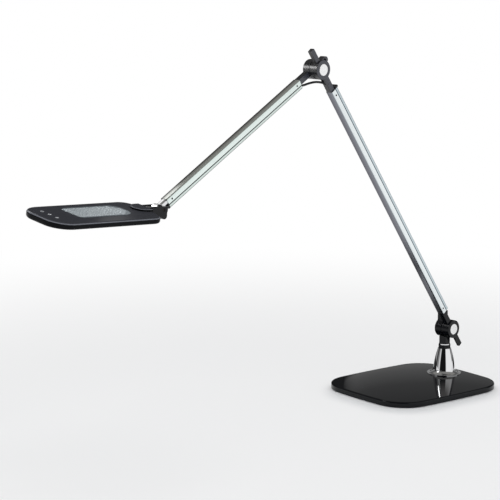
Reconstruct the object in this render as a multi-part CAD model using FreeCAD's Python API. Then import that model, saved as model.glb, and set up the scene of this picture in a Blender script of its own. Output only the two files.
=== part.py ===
import FreeCAD
import Part
import math
import os

# Swing-arm LED desk lamp, in millimetres, +Z up.
# The origin is the centre of the base's underside, on the table.
# The lamp head points to -Y, every arm hinge turns about X, and the hinge caps face +X.

# Driving sizes of the whole lamp
base_length = 199.0
base_width = 169.4
base_height = 8.0
swivel_setback = 33.5
base_yaw = -7.2
base_side_shift = 2.2
base_front_shift = 4.7
shoulder_height = 72.25
lower_arm_length = 460.0
lower_arm_angle = 126.0
upper_arm_length = 302.0
upper_arm_angle = 209.1
head_pitch = -3.6
head_roll = 9.0

# Fits and clearances
fit = 0.05
running = 0.05
face_gap = 0.15
swing_gap = 0.5
screw_room = 0.2
overrun = 1.0
tolerance = 0.001

# Base
base_corner = 43.0
base_bow = 4.2
base_edge_round = 1.8
pad_thickness = 1.0
pad_inset = 2.5
cover_wall = 2.6
cover_roof = 2.0
weight_thickness = 3.7
base_screw_radius = 1.5
base_screw_head_radius = 2.9
base_screw_head_height = 1.6
base_screw_grip = 2.4
base_screw_inset = 26.0
base_boss_radius = 3.6

# Low-voltage inlet in the rear edge
inlet_width = 8.0
inlet_height = 4.9
inlet_length = 11.0
inlet_bore_radius = 1.8
inlet_bore_depth = 8.5
inlet_pin_radius = 0.65
inlet_mouth_radius = 2.2

# Driver board under the cover
board_width = 34.0
board_depth = 22.0
board_thickness = 1.2
board_setback = 30.0
chip_width = 10.0
chip_depth = 8.0
chip_height = 1.4
lead_radius = 0.5
lead_run = 4.85
lead_bend = 3.0
lead_landing = 3.0

# Swivel cone
cone_height = 35.5
cone_skirt_radius = 23.5
cone_rim = 1.0
cone_waist_radius = 15.4
cone_waist_height = 6.0
cone_top_radius = 9.0
cone_bulge = 0.65
cone_bore = 7.5
cone_web = 5.5
cone_screw_count = 3
cone_screw_circle = 11.0
cone_screw_radius = 1.25
cone_screw_head_radius = 2.4
cone_screw_head_height = 1.4
cone_screw_grip = 8.0
quarter_arc_share = 0.7071

# Swivel bush, foot, collar and shank
shank_radius = 4.0
shank_bore = 2.2
shank_tail = 1.5
bush_radius = 6.0
bush_flange_radius = 7.6
bush_flange = 0.8
foot_radius = 8.2
foot_height = 4.2
collar_radius = 7.8
collar_height = 1.4
swivel_washer_radius = 6.8
swivel_washer = 1.0
swivel_nut_radius = 6.9
swivel_nut = 4.0

# Shoulder post
neck_width = 11.0
neck_round = 1.0
post_tail_front = 7.0
post_tail_rear = 4.3
post_tail_reach = 24.0

# Hinges, the same at shoulder and elbow: far half, friction washer and near half along X
hinge_radius = 12.4
far_face = -8.3
far_inner = 2.5
near_inner = 3.4
near_face = 15.9
hinge_edge_round = 0.8
friction_washer_radius = 10.5
bolt_radius = 3.0
bolt_head_radius = 5.4
bolt_head_height = 3.2
hinge_nut_radius = 5.7
hinge_nut = 3.8
hinge_nut_seat = 4.5
counterbore_radius = 6.2
counterbore_floor = 9.2
spring_washer_radius = 5.8
spring_washer = 1.0
cap_radius = 7.4
cap_seat = 1.5
cap_proud = 0.2
cap_edge_round = 0.4

# Arm extrusion: a square tube with a cable channel on one side
tube_width = 11.2
tube_height = 8.2
tube_wall = 1.0
spine_round = 1.8
tube_round = 0.8
channel_height = 3.6
channel_wall = 0.9
groove_width = 1.2
groove_depth = 0.5
strip_thickness = 1.0
arm_cable_radius = 1.2
spigot_length = 22.0
lower_arm_x = 10.0
upper_arm_x = -3.0
lower_setback = 33.6
upper_setback = 31.3
head_setback = 14.5

# Hinge knuckles
bar_width = 7.6
shoulder_tail_inner = 10.2
elbow_tail_inner = 8.2
tail_outer = 13.6
tail_height = 6.6
tail_reach = 31.0
lug_width = 8.6
lug_height = 7.6
lug_reach = 26.5
lug_hole_radius = 2.6
lug_hole_setback = 6.0
lug_round = 3.2
bar_edge_round = 0.8

# Grub screws that lock the arm tubes
grub_radius = 1.2
grub_depth = 2.6
grub_setback = 7.2

# Cable across the elbow: places from the elbow axis
elbow_cable_radius = 1.45
cable_bend_share = 0.45
cable_hole_room = 0.5
cable_hole_depth = 5.0
cable_joint_gap = 0.8
cable_sag = 0.4
elbow_cable_route = [
    (-2.9, -17.5, -19.4),
    (-1.0, -9.5, -17.2),
    (2.4, -2.0, -15.6),
    (6.4, 3.6, -15.9),
    (9.8, 8.8, -17.4),
]

# Channel end caps and head knuckle
end_cap_thickness = 2.5
end_cap_plug = 6.0
end_cap_lip = 1.6
cable_stop = 1.0
knuckle_width = 8.6
knuckle_height = 7.4
knuckle_round = 3.0
eye_radius = 5.8
tilt_pin_radius = 2.0
tilt_pin_recess = 0.5

# Head yoke
yoke_radius = 6.2
yoke_half_width = 12.0
yoke_slot_half = 5.1
yoke_slot_front = 14.0
yoke_front = 18.0
yoke_top = 4.0
yoke_bottom = -6.6
yoke_round = 1.2
heel_depth = 11.0
heel_front = 3.0
heel_rear = 5.2
heel_round = 3.9
tilt_washer_radius = 5.4
tilt_washer = 0.65
spigot_radius = 3.0
retainer_radius = 4.1
retainer_head = 1.5
retainer_screw_radius = 1.2
retainer_screw_length = 6.0

# Lamp head: distances forward of the tilt hinge and above it
collar_face = 18.6
plate_rear = 19.4
plate_front = 176.5
plate_width = 73.0
plate_top = 1.5
plate_thickness = 8.4
plate_front_corner = 26.0
plate_rear_corner = 14.0
plate_edge_round = 2.6
plate_crown = 1.2
shell_wall = 1.9
shell_skin = 1.2
top_shell_height = 4.4
hump_radius = 13.0
hump_centre = 25.0
hump_rise = 2.7
hump_round = 1.2
saddle_half_width = 9.0
twist_bush_radius = 4.4
twist_bush_length = 14.4
retainer_room = 1.0
plug_radius = 2.0
plug_depth = 0.7
plug_proud = 0.1

# Heat panel, touch marks and light unit in the head
panel_rear = 50.0
panel_front = 131.0
panel_width = 38.0
panel_rear_corner = 14.0
panel_front_corner = 7.0
panel_depth = 0.6
panel_proud = 0.2
mark_setback = 16.9
mark_pitch = 13.0
mark_radius = 2.2
mark_count = 3
mark_depth = 0.2
mark_proud = 0.1
led_board_rear = 52.0
led_board_front = 146.0
led_board_width = 52.0
led_board_thickness = 1.2
led_rows = 4
led_columns = 9
led_size = 3.0
led_height = 0.7
touch_board_rear = 150.0
touch_board_front = 168.0
touch_board_width = 40.0
window_lip = 2.0
diffuser_thickness = 1.6
head_screw_radius = 1.0
head_screw_head_radius = 1.9
head_screw_head_height = 0.9
head_screw_grip = 3.6
head_boss_radius = 2.6
head_boss_side_inset = 6.5
head_boss_rear_inset = 22.6
head_boss_front_inset = 20.0

# Heights and places worked out from the sizes above
Vec = FreeCAD.Vector
ORIGIN = Vec(0, 0, 0)
X_AXIS = Vec(1, 0, 0)
Y_AXIS = Vec(0, 1, 0)
Z_AXIS = Vec(0, 0, 1)
swivel_y = base_length / 2 - swivel_setback
board_y = swivel_y - board_setback
cover_ceiling = base_height - cover_roof
weight_top = pad_thickness + weight_thickness
cone_top = base_height + cone_height
web_bottom = cone_top - cone_web
foot_bottom = cone_top + bush_flange + face_gap
collar_bottom = foot_bottom + foot_height
neck_bottom = collar_bottom + collar_height
washer_bottom = web_bottom - face_gap - swivel_washer
nut_bottom = washer_bottom - swivel_nut
spring_washer_top = counterbore_floor + spring_washer
bolt_head_seat = spring_washer_top + face_gap
cap_floor = near_face - cap_seat
nut_floor = far_face + hinge_nut_seat
bolt_end = nut_floor - hinge_nut
half_tube_w = tube_width / 2
half_tube_h = tube_height / 2
channel_top = half_tube_h + channel_height
cable_height = half_tube_h + (channel_height - strip_thickness) / 2
spigot_width = tube_width - 2 * (tube_wall + fit)
spigot_height = tube_height - 2 * (tube_wall + fit)
plate_bottom = plate_top - plate_thickness
shell_split = plate_top - top_shell_height
top_ceiling = plate_top - shell_wall
skin_top = plate_bottom + shell_skin
hump_top = plate_top + hump_rise
twist_z = (hump_top + plate_bottom) / 2
spigot_end = collar_face + twist_bush_length + face_gap
pocket_end = spigot_end + retainer_head + retainer_room
half_eye = knuckle_width / 2
crown_radius = (plate_width / 2) ** 2 / (2 * plate_crown) + plate_crown / 2


def on_ray(angle, distance):
    """The (y, z) offset at a distance along an angle measured from +Y towards +Z."""
    turn = math.radians(angle)
    return distance * math.cos(turn), distance * math.sin(turn)


def from_point(start, angle, distance):
    """The (y, z) point a distance away from another at an angle."""
    y, z = on_ray(angle, distance)
    return start[0] + y, start[1] + z


shoulder = (swivel_y, shoulder_height)
elbow = from_point(shoulder, lower_arm_angle, lower_arm_length)
tilt_hinge = from_point(elbow, upper_arm_angle, upper_arm_length)


def block(x0, x1, y0, y1, z0, z1):
    """A box between two corners."""
    return Part.makeBox(x1 - x0, y1 - y0, z1 - z0, Vec(x0, y0, z0))


def rod_x(radius, x0, x1, y=0, z=0):
    """A round bar along X."""
    return Part.makeCylinder(radius, x1 - x0, Vec(x0, y, z), X_AXIS)


def rod_y(radius, y0, y1, x=0, z=0):
    """A round bar along Y."""
    return Part.makeCylinder(radius, y1 - y0, Vec(x, y0, z), Y_AXIS)


def rod_z(radius, z0, z1, x=0, y=0):
    """A round bar along Z."""
    return Part.makeCylinder(radius, z1 - z0, Vec(x, y, z0), Z_AXIS)


def hexagon(radius, height):
    """A hexagonal prism along Z from the origin, by its corner radius."""
    corners = [Vec(*on_ray(60 * side, radius), 0) for side in range(7)]
    return Part.Face(Part.makePolygon(corners)).extrude(Vec(0, 0, height))


def fused(shapes):
    """One solid from several that meet."""
    return shapes[0].fuse(shapes[1:]).removeSplitter()


def is_straight(edge, axis):
    """Whether an edge is a straight line along an axis."""
    ends = edge.Vertexes
    if len(ends) != 2:
        return False
    run = ends[1].Point - ends[0].Point
    return abs(run.Length - edge.Length) < tolerance and run.cross(axis).Length < tolerance


def lies_at(edge, axis, place):
    """Whether an edge lies in the plane square to an axis at a place along it."""
    middle = edge.valueAt((edge.FirstParameter + edge.LastParameter) / 2)
    points = [corner.Point for corner in edge.Vertexes] + [middle]
    return all(abs(point.dot(axis) - place) < tolerance for point in points)


def round_along(shape, axis, radius):
    """Round every straight edge along an axis."""
    return shape.makeFillet(radius, [edge for edge in shape.Edges if is_straight(edge, axis)])


def round_at(shape, axis, place, radius):
    """Round every edge in a plane square to an axis."""
    return shape.makeFillet(radius, [edge for edge in shape.Edges if lies_at(edge, axis, place)])


def edges_at(shape, along, axis, place):
    """The straight edges along one axis that lie at a place on another."""
    return [edge for edge in shape.Edges if is_straight(edge, along) and lies_at(edge, axis, place)]


def turned(shape, angle, place):
    """A shape built along +Y, turned about X to an angle and moved to a hinge."""
    copy = shape.copy()
    copy.rotate(ORIGIN, X_AXIS, angle)
    copy.translate(Vec(0, place[0], place[1]))
    return copy


def save(name, shape):
    """Write one piece."""
    shape.exportStep("parts/" + name + ".step")


def at_base(shape):
    """A shape built square about the base's middle, turned and moved to where the base stands."""
    copy = shape.copy()
    copy.rotate(ORIGIN, Z_AXIS, base_yaw)
    copy.translate(Vec(base_side_shift, -base_front_shift, 0))
    return copy


def bowed_plate(inset, z0, z1):
    """The base's outline with gently bowed sides, drawn in by an inset, between two heights."""
    half_x = base_width / 2 - inset
    half_y = base_length / 2 - inset
    corner_x = half_x - base_bow
    corner_y = half_y - base_bow
    sides = [
        Part.Arc(Vec(corner_x, -corner_y, z0), Vec(half_x, 0, z0), Vec(corner_x, corner_y, z0)),
        Part.Arc(Vec(corner_x, corner_y, z0), Vec(0, half_y, z0), Vec(-corner_x, corner_y, z0)),
        Part.Arc(Vec(-corner_x, corner_y, z0), Vec(-half_x, 0, z0), Vec(-corner_x, -corner_y, z0)),
        Part.Arc(Vec(-corner_x, -corner_y, z0), Vec(0, -half_y, z0), Vec(corner_x, -corner_y, z0)),
    ]
    wire = Part.Wire([side.toShape() for side in sides])
    solid = Part.Face(wire).extrude(Vec(0, 0, z1 - z0))
    return at_base(round_along(solid, Z_AXIS, base_corner - inset))


def base_screw_places():
    """The four ballast screws' (x, y) places."""
    half_x = base_width / 2 - base_screw_inset
    half_y = base_length / 2 - base_screw_inset
    corners = [Vec(side * half_x, end * half_y, 0) for side in (-1, 1) for end in (-1, 1)]
    places = [at_base(Part.Vertex(corner)).Point for corner in corners]
    return [(place.x, place.y) for place in places]


def cone_screw_places():
    """The cone screws' (x, y) places round the swivel axis."""
    step = 360 / cone_screw_count
    places = [on_ray(step * number, cone_screw_circle) for number in range(cone_screw_count)]
    return [(x, swivel_y + y) for x, y in places]


def inlet_front():
    """Where the inlet's front meets the inside of the cover's rear wall."""
    return base_length / 2 - cover_wall - fit


def inlet_middle():
    """The inlet's height above the table."""
    return pad_thickness + inlet_height / 2


def make_base_pad():
    """The foam sheet that the lamp stands on."""
    return bowed_plate(pad_inset, 0, pad_thickness)


def make_base_weight():
    """The ballast plate, with room for the screws, inlet, cone screws and board."""
    plate = bowed_plate(cover_wall + face_gap, pad_thickness, weight_top)
    low = pad_thickness - overrun
    high = weight_top + overrun
    cuts = []
    head_top = pad_thickness + base_screw_head_height
    for x, y in base_screw_places():
        cuts.append(rod_z(base_screw_radius + screw_room, low, high, x, y))
        cuts.append(rod_z(base_screw_head_radius + screw_room, low, head_top, x, y))
    for x, y in cone_screw_places():
        cuts.append(rod_z(cone_screw_head_radius + screw_room, low, high, x, y))
    half_slot = inlet_width / 2 + screw_room
    slot_back = inlet_front() - inlet_length - screw_room
    cuts.append(at_base(block(-half_slot, half_slot, slot_back, base_length / 2, low, high)))
    half_chip_w = chip_width / 2 + screw_room
    half_chip_d = chip_depth / 2 + screw_room
    pocket = block(-half_chip_w, half_chip_w, board_y - half_chip_d, board_y + half_chip_d, low, high)
    cuts.append(at_base(pocket))
    return plate.cut(cuts)


def make_base_cover():
    """The gloss cover: a shell with screw bosses, the cable way and the inlet's mouth."""
    outer = round_at(bowed_plate(0, pad_thickness, base_height), Z_AXIS, base_height, base_edge_round)
    shell = outer.cut(bowed_plate(cover_wall, pad_thickness - overrun, cover_ceiling))
    bosses = [rod_z(base_boss_radius, weight_top, cover_ceiling, x, y) for x, y in base_screw_places()]
    shell = fused([shell] + bosses)
    cuts = [rod_z(cone_bore, pad_thickness, base_height + overrun, 0, swivel_y)]
    for x, y in base_screw_places():
        cuts.append(rod_z(base_screw_radius + fit, pad_thickness, weight_top + base_screw_grip, x, y))
    for x, y in cone_screw_places():
        cuts.append(rod_z(cone_screw_radius + screw_room, pad_thickness, base_height + overrun, x, y))
    rear = base_length / 2 + overrun
    cuts.append(at_base(rod_y(inlet_mouth_radius, inlet_front() - overrun, rear, 0, inlet_middle())))
    return shell.cut(cuts)


def make_base_screws():
    """Four screws from below that hold the ballast in the cover."""
    screws = []
    for x, y in base_screw_places():
        head_top = pad_thickness + base_screw_head_height
        head = rod_z(base_screw_head_radius, pad_thickness, head_top, x, y)
        shaft = rod_z(base_screw_radius, pad_thickness, weight_top + base_screw_grip, x, y)
        screws.append(fused([head, shaft]))
    return Part.makeCompound(screws)


def make_dc_inlet():
    """The inlet's housing with its plug bore."""
    front = inlet_front()
    half = inlet_width / 2
    back = front - inlet_length
    body = block(-half, half, back, front, pad_thickness, pad_thickness + inlet_height)
    bore_end = front - inlet_bore_depth
    bore = rod_y(inlet_bore_radius, bore_end, front + overrun, 0, inlet_middle())
    pin_hole = rod_y(inlet_pin_radius + fit, back, bore_end + overrun, 0, inlet_middle())
    return at_base(body.cut([bore, pin_hole]))


def make_dc_inlet_pin():
    """The inlet's centre pin."""
    front = inlet_front()
    return at_base(rod_y(inlet_pin_radius, front - inlet_length, front - overrun, 0, inlet_middle()))


def make_driver_board():
    """The driver board under the cover's ceiling, with its chip below."""
    half_w = board_width / 2
    half_d = board_depth / 2
    bottom = cover_ceiling - board_thickness
    board = block(-half_w, half_w, board_y - half_d, board_y + half_d, bottom, cover_ceiling)
    half_chip_w = chip_width / 2
    half_chip_d = chip_depth / 2
    chip = block(-half_chip_w, half_chip_w, board_y - half_chip_d, board_y + half_chip_d,
                 bottom - chip_height, bottom)
    return at_base(fused([board, chip]))


def bent_path(points, bend):
    """A wire of straight runs joined by tangent arcs, with the arc radius at each inner point from bend."""
    edges = []
    start = points[0]
    for before, point, after in zip(points, points[1:], points[2:]):
        run_in = point - before
        run_out = after - point
        turn = run_in.getAngle(run_out)
        radius = bend(run_in.Length, run_out.Length, turn)
        reach = radius * math.tan(turn / 2)
        way_in = Vec(run_in).normalize()
        way_out = Vec(run_out).normalize()
        arc_start = point - way_in * reach
        arc_end = point + way_out * reach
        inward = (way_out - way_in).normalize()
        arc_middle = point + inward * (radius / math.cos(turn / 2) - radius)
        edges.append(Part.LineSegment(start, arc_start).toShape())
        edges.append(Part.Arc(arc_start, arc_middle, arc_end).toShape())
        start = arc_end
    edges.append(Part.LineSegment(start, points[-1]).toShape())
    return Part.Wire(edges)


def tube_along(path, points, radius):
    """A round solid along a path."""
    circle = Part.makeCircle(radius, points[0], points[1] - points[0])
    return path.makePipeShell([Part.Wire([circle])], True, False)


def make_base_lead():
    """The lead from the inlet, past the cone, to the board, lying on the ballast."""
    height = weight_top + lead_radius + fit
    start_y = inlet_front() - inlet_length
    board_rear = board_y + board_depth / 2
    landing_x = board_width / 2 - lead_landing
    points = [
        Vec(0, start_y, height),
        Vec(0, start_y - lead_run, height),
        Vec(landing_x, start_y - lead_run, height),
        Vec(landing_x, board_rear, height),
    ]
    path = bent_path(points, lambda run_in, run_out, turn: lead_bend)
    return at_base(tube_along(path, points, lead_radius))


def make_swivel_cone():
    """The chrome cone: a flared skirt, a bellied taper and a web at the top for the bush."""
    low = base_height
    rim = low + cone_rim
    waist = low + cone_waist_height
    belly_radius = (cone_waist_radius + cone_top_radius) / 2 + cone_bulge
    drop = cone_skirt_radius - cone_waist_radius
    arc_radius = cone_skirt_radius - drop * quarter_arc_share
    arc_height = waist - (waist - rim) * quarter_arc_share
    outline = [
        Part.LineSegment(Vec(cone_bore, 0, low), Vec(cone_skirt_radius, 0, low)),
        Part.LineSegment(Vec(cone_skirt_radius, 0, low), Vec(cone_skirt_radius, 0, rim)),
        Part.Arc(Vec(cone_skirt_radius, 0, rim), Vec(arc_radius, 0, arc_height),
                 Vec(cone_waist_radius, 0, waist)),
        Part.Arc(Vec(cone_waist_radius, 0, waist), Vec(belly_radius, 0, (waist + cone_top) / 2),
                 Vec(cone_top_radius, 0, cone_top)),
        Part.LineSegment(Vec(cone_top_radius, 0, cone_top), Vec(bush_radius, 0, cone_top)),
        Part.LineSegment(Vec(bush_radius, 0, cone_top), Vec(bush_radius, 0, web_bottom)),
        Part.LineSegment(Vec(bush_radius, 0, web_bottom), Vec(cone_bore, 0, web_bottom)),
        Part.LineSegment(Vec(cone_bore, 0, web_bottom), Vec(cone_bore, 0, low)),
    ]
    face = Part.Face(Part.Wire([piece.toShape() for piece in outline]))
    cone = face.revolve(ORIGIN, Z_AXIS, 360)
    cone.translate(Vec(0, swivel_y, 0))
    holes = [rod_z(cone_screw_radius + fit, low - overrun, low + cone_screw_grip, x, y)
             for x, y in cone_screw_places()]
    return cone.cut(holes)


def make_cone_screws():
    """Three screws through the cover's roof into the cone."""
    screws = []
    for x, y in cone_screw_places():
        head = rod_z(cone_screw_head_radius, cover_ceiling - cone_screw_head_height, cover_ceiling, x, y)
        shaft = rod_z(cone_screw_radius, cover_ceiling - cone_screw_head_height,
                      base_height + cone_screw_grip, x, y)
        screws.append(fused([head, shaft]))
    return Part.makeCompound(screws)


def make_swivel_bush():
    """The flanged bush in the cone's web."""
    sleeve = rod_z(bush_radius - fit, web_bottom, cone_top, 0, swivel_y)
    flange = rod_z(bush_flange_radius, cone_top, cone_top + bush_flange, 0, swivel_y)
    bore = rod_z(shank_radius + running, web_bottom - overrun, cone_top + bush_flange + overrun, 0, swivel_y)
    return fused([sleeve, flange]).cut(bore)


def shank_ring(radius, z0, z1):
    """A ring that sits on the post's shank."""
    hole = rod_z(shank_radius + fit, z0 - overrun, z1 + overrun, 0, swivel_y)
    return rod_z(radius, z0, z1, 0, swivel_y).cut(hole)


def make_swivel_nut():
    """The nut under the cone's web."""
    nut = hexagon(swivel_nut_radius, swivel_nut)
    nut.translate(Vec(0, swivel_y, nut_bottom))
    hole = rod_z(shank_radius + fit, nut_bottom - overrun, washer_bottom + overrun, 0, swivel_y)
    return nut.cut(hole)


def far_boss_cuts():
    """The bolt's bore and the nut's seat in a hinge's far half, round the X axis."""
    bore = rod_x(bolt_radius + fit, far_face - overrun, far_inner + overrun)
    seat = rod_x(hinge_nut_radius + screw_room, far_face - overrun, nut_floor)
    return [bore, seat]


def make_shoulder_post():
    """The post: shank, square neck, far hinge half and upright tail."""
    boss = round_at(rod_x(hinge_radius, far_face, far_inner), X_AXIS, far_face, hinge_edge_round)
    half = neck_width / 2
    neck_low = neck_bottom - shoulder_height
    neck = round_along(block(-half, half, -half, half, neck_low, 0), Z_AXIS, neck_round)
    near_room = rod_x(hinge_radius + swing_gap, far_inner, near_face + overrun)
    neck = neck.cut(near_room)
    tail_left = upper_arm_x - lug_width / 2
    tail_right = tail_left + lug_width
    tail = block(tail_left, tail_right, -post_tail_front, post_tail_rear, 0, post_tail_reach)
    tail = round_along(tail, X_AXIS, bar_edge_round)
    shank_end = nut_bottom - shank_tail - shoulder_height
    shank = rod_z(shank_radius, shank_end, neck_low)
    post = fused([boss, neck, tail, shank])
    bore = rod_z(shank_bore, shank_end - overrun, neck_low)
    return turned(post.cut(far_boss_cuts() + [bore]), 0, shoulder)


def make_hinge_bolt(place):
    """A hinge's bolt, with its head under the near half's cap."""
    shaft = rod_x(bolt_radius, bolt_end, bolt_head_seat)
    head = rod_x(bolt_head_radius, bolt_head_seat, bolt_head_seat + bolt_head_height)
    return turned(fused([shaft, head]), 0, place)


def make_hinge_nut(place):
    """The nut on a hinge's bolt, seated in the far half."""
    nut = hexagon(hinge_nut_radius, hinge_nut)
    nut.rotate(ORIGIN, Y_AXIS, 90)
    nut.translate(Vec(bolt_end, 0, 0))
    return turned(nut.cut(rod_x(bolt_radius + fit, bolt_end - overrun, nut_floor + overrun)), 0, place)


def bolt_ring(radius, x0, x1, place):
    """A washer that runs on a hinge's bolt."""
    ring = rod_x(radius, x0, x1).cut(rod_x(bolt_radius + running, x0 - overrun, x1 + overrun))
    return turned(ring, 0, place)


def make_hinge_cap(place):
    """The bright cap in a hinge's near face."""
    cap = rod_x(cap_radius, cap_floor, near_face + cap_proud)
    return turned(round_at(cap, X_AXIS, near_face + cap_proud, cap_edge_round), 0, place)


def arm_bar(x_middle, setback):
    """A knuckle's bar from its hinge to the arm tube, and the spigot inside the tube."""
    half_w = bar_width / 2
    bar = block(x_middle - half_w, x_middle + half_w, 0, setback, -half_tube_h, half_tube_h)
    half_sw = spigot_width / 2
    half_sh = spigot_height / 2
    spigot = block(x_middle - half_sw, x_middle + half_sw, setback - overrun, setback + spigot_length,
                   -half_sh, half_sh)
    return [round_along(bar, Y_AXIS, bar_edge_round), spigot.common(tube_side(x_middle, setback))]


def tube_side(x_middle, setback):
    """The space beyond the end of an arm tube."""
    return block(x_middle - tube_width, x_middle + tube_width, setback, setback + 2 * spigot_length,
                 -tube_height, tube_height)


def grub_pocket(x_middle, along):
    """The pocket of a grub screw from the near side of an arm."""
    near = x_middle + half_tube_w
    return rod_x(grub_radius + fit, near - grub_depth - fit, near + overrun, along)


def make_near_knuckle(angle, place, tail_inner):
    """A lower-arm knuckle: near hinge half, bar, spigot and tail."""
    boss = round_at(rod_x(hinge_radius, near_inner, near_face), X_AXIS, near_face, hinge_edge_round)
    half = tail_height / 2
    tail = block(tail_inner, tail_outer, -tail_reach, 0, -half, half)
    tail = round_along(tail, X_AXIS, bar_edge_round)
    knuckle = fused([boss, tail] + arm_bar(lower_arm_x, lower_setback))
    cuts = [
        rod_x(bolt_radius + running, near_inner - overrun, near_face),
        rod_x(counterbore_radius, counterbore_floor, near_face),
        rod_x(cap_radius + fit, cap_floor, near_face + overrun),
        grub_pocket(lower_arm_x, lower_setback + grub_setback),
    ]
    return turned(knuckle.cut(cuts), angle, place)


def make_middle_knuckle():
    """The elbow's near half, with the hole that the elbow cable enters."""
    knuckle = make_near_knuckle(lower_arm_angle + 180, elbow, elbow_tail_inner)
    points = elbow_cable_points()
    way = (points[-1] - points[-2]).normalize()
    room = elbow_cable_radius + cable_hole_room
    hole = Part.makeCylinder(room, 2 * cable_hole_depth, points[-1] - way * cable_hole_depth, way)
    return knuckle.cut(hole)


def make_upper_knuckle():
    """The elbow's far half: boss, bar to the upper arm and lug with its hole."""
    boss = round_at(rod_x(hinge_radius, far_face, far_inner), X_AXIS, far_face, hinge_edge_round)
    left = upper_arm_x - lug_width / 2
    half = lug_height / 2
    right = left + lug_width
    lug = block(left, right, -lug_reach, 0, -half, half)
    lug = lug.makeFillet(lug_round, edges_at(lug, X_AXIS, Y_AXIS, -lug_reach))
    knuckle = fused([boss, lug] + arm_bar(upper_arm_x, upper_setback))
    lug_hole = rod_x(lug_hole_radius, left - overrun, right + overrun, lug_hole_setback - lug_reach)
    cuts = far_boss_cuts() + [lug_hole, grub_pocket(upper_arm_x, upper_setback + grub_setback)]
    return turned(knuckle.cut(cuts), upper_arm_angle, elbow)


def channel_block(x_middle, inset, y0, y1, z0, z1, side):
    """A block in an arm's cable channel, on the channel's side of the tube."""
    half = half_tube_w - inset
    low, high = sorted((side * z0, side * z1))
    return block(x_middle - half, x_middle + half, y0, y1, low, high)


def arm_tube(x_middle, start, end, side, grub_places):
    """An arm's extrusion from start to end along +Y, with its channel on one side."""
    main = block(x_middle - half_tube_w, x_middle + half_tube_w, start, end, -half_tube_h, half_tube_h)
    channel = channel_block(x_middle, 0, start, end, 0, channel_top, side)
    outer = fused([main, channel])
    outer = outer.makeFillet(spine_round, edges_at(outer, Y_AXIS, Z_AXIS, -side * half_tube_h))
    outer = outer.makeFillet(tube_round, edges_at(outer, Y_AXIS, Z_AXIS, side * channel_top))
    low = start - overrun
    high = end + overrun
    inner_w = half_tube_w - tube_wall
    inner_h = half_tube_h - tube_wall
    cuts = [block(x_middle - inner_w, x_middle + inner_w, low, high, -inner_h, inner_h)]
    cuts.append(channel_block(x_middle, channel_wall, low, high, half_tube_h, channel_top + overrun, side))
    for face in (-1, 1):
        outside = x_middle + face * (half_tube_w + overrun)
        inside = x_middle + face * (half_tube_w - groove_depth)
        left, right = sorted((outside, inside))
        bottom, top = sorted((side * half_tube_h, side * (half_tube_h - groove_width)))
        cuts.append(block(left, right, low, high, bottom, top))
    cuts += [grub_pocket(x_middle, place) for place in grub_places]
    return outer.cut(cuts)


def channel_strip(x_middle, start, end, side):
    """The strip that closes an arm's channel."""
    low = channel_top - strip_thickness
    return channel_block(x_middle, channel_wall + fit, start, end, low, channel_top, side)


def grub_screw(x_middle, along):
    """One grub screw in the near side of an arm."""
    near = x_middle + half_tube_w
    return rod_x(grub_radius, near - grub_depth, near, along)


lower_tube_end = lower_arm_length - lower_setback
lower_grubs = [lower_setback + grub_setback, lower_tube_end - grub_setback]
upper_tube_end = upper_arm_length - head_setback
upper_grubs = [upper_setback + grub_setback, upper_tube_end - grub_setback]
lower_side = -1
upper_side = 1


def make_lower_arm_tube():
    """The lower arm's extrusion, with its channel at the back."""
    tube = arm_tube(lower_arm_x, lower_setback, lower_tube_end, lower_side, lower_grubs)
    return turned(tube, lower_arm_angle, shoulder)


def make_upper_arm_tube():
    """The upper arm's extrusion, with its channel underneath."""
    tube = arm_tube(upper_arm_x, upper_setback, upper_tube_end, upper_side, upper_grubs)
    return turned(tube, upper_arm_angle, elbow)


def arm_cable(x_middle, start, tube_end, side):
    """The cable in an arm's channel, up to the end cap's plug."""
    end = tube_end - end_cap_plug - cable_stop
    return rod_y(arm_cable_radius, start, end, x_middle, side * cable_height)


def make_lower_arm_cable():
    """The cable in the lower arm's channel."""
    cable = arm_cable(lower_arm_x, lower_setback, lower_tube_end, lower_side)
    return turned(cable, lower_arm_angle, shoulder)


def make_upper_arm_cable():
    """The cable in the upper arm's channel."""
    cable = arm_cable(upper_arm_x, upper_setback, upper_tube_end, upper_side)
    return turned(cable, upper_arm_angle, elbow)


def elbow_cable_points():
    """The elbow cable's route, from the upper arm's channel to the middle knuckle."""
    start = on_ray(upper_arm_angle, upper_setback - cable_joint_gap)
    down = on_ray(upper_arm_angle + 90, upper_side * (cable_height + cable_sag))
    first = (upper_arm_x, start[0] + down[0], start[1] + down[1])
    return [Vec(x, elbow[0] + y, elbow[1] + z) for x, y, z in [first] + elbow_cable_route]


def cable_bend(run_in, run_out, turn):
    """The largest arc radius that two runs of the cable allow."""
    return cable_bend_share * min(run_in, run_out) / math.tan(turn / 2)


def make_elbow_cable():
    """The short cable that crosses the elbow below the hinge."""
    points = elbow_cable_points()
    return tube_along(bent_path(points, cable_bend), points, elbow_cable_radius)


def end_cap(x_middle, tube_end, side, lip):
    """The cap on the far end of an arm's channel, with a lip past the channel and a plug inside it."""
    outside = tube_end + end_cap_thickness
    cover = channel_block(x_middle, 0, tube_end, outside, half_tube_h, channel_top + lip, side)
    plug = channel_block(x_middle, channel_wall + fit, tube_end - end_cap_plug, outside,
                         half_tube_h + fit, channel_top - strip_thickness - fit, side)
    return fused([cover, plug])


def make_channel_end_cap():
    """The black cap on the head end of the upper arm's channel."""
    return turned(end_cap(upper_arm_x, upper_tube_end, upper_side, 0), upper_arm_angle, elbow)


def make_lower_channel_cap():
    """The black cap on the elbow end of the lower arm's channel."""
    return turned(end_cap(lower_arm_x, lower_tube_end, lower_side, end_cap_lip), lower_arm_angle, shoulder)


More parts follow.
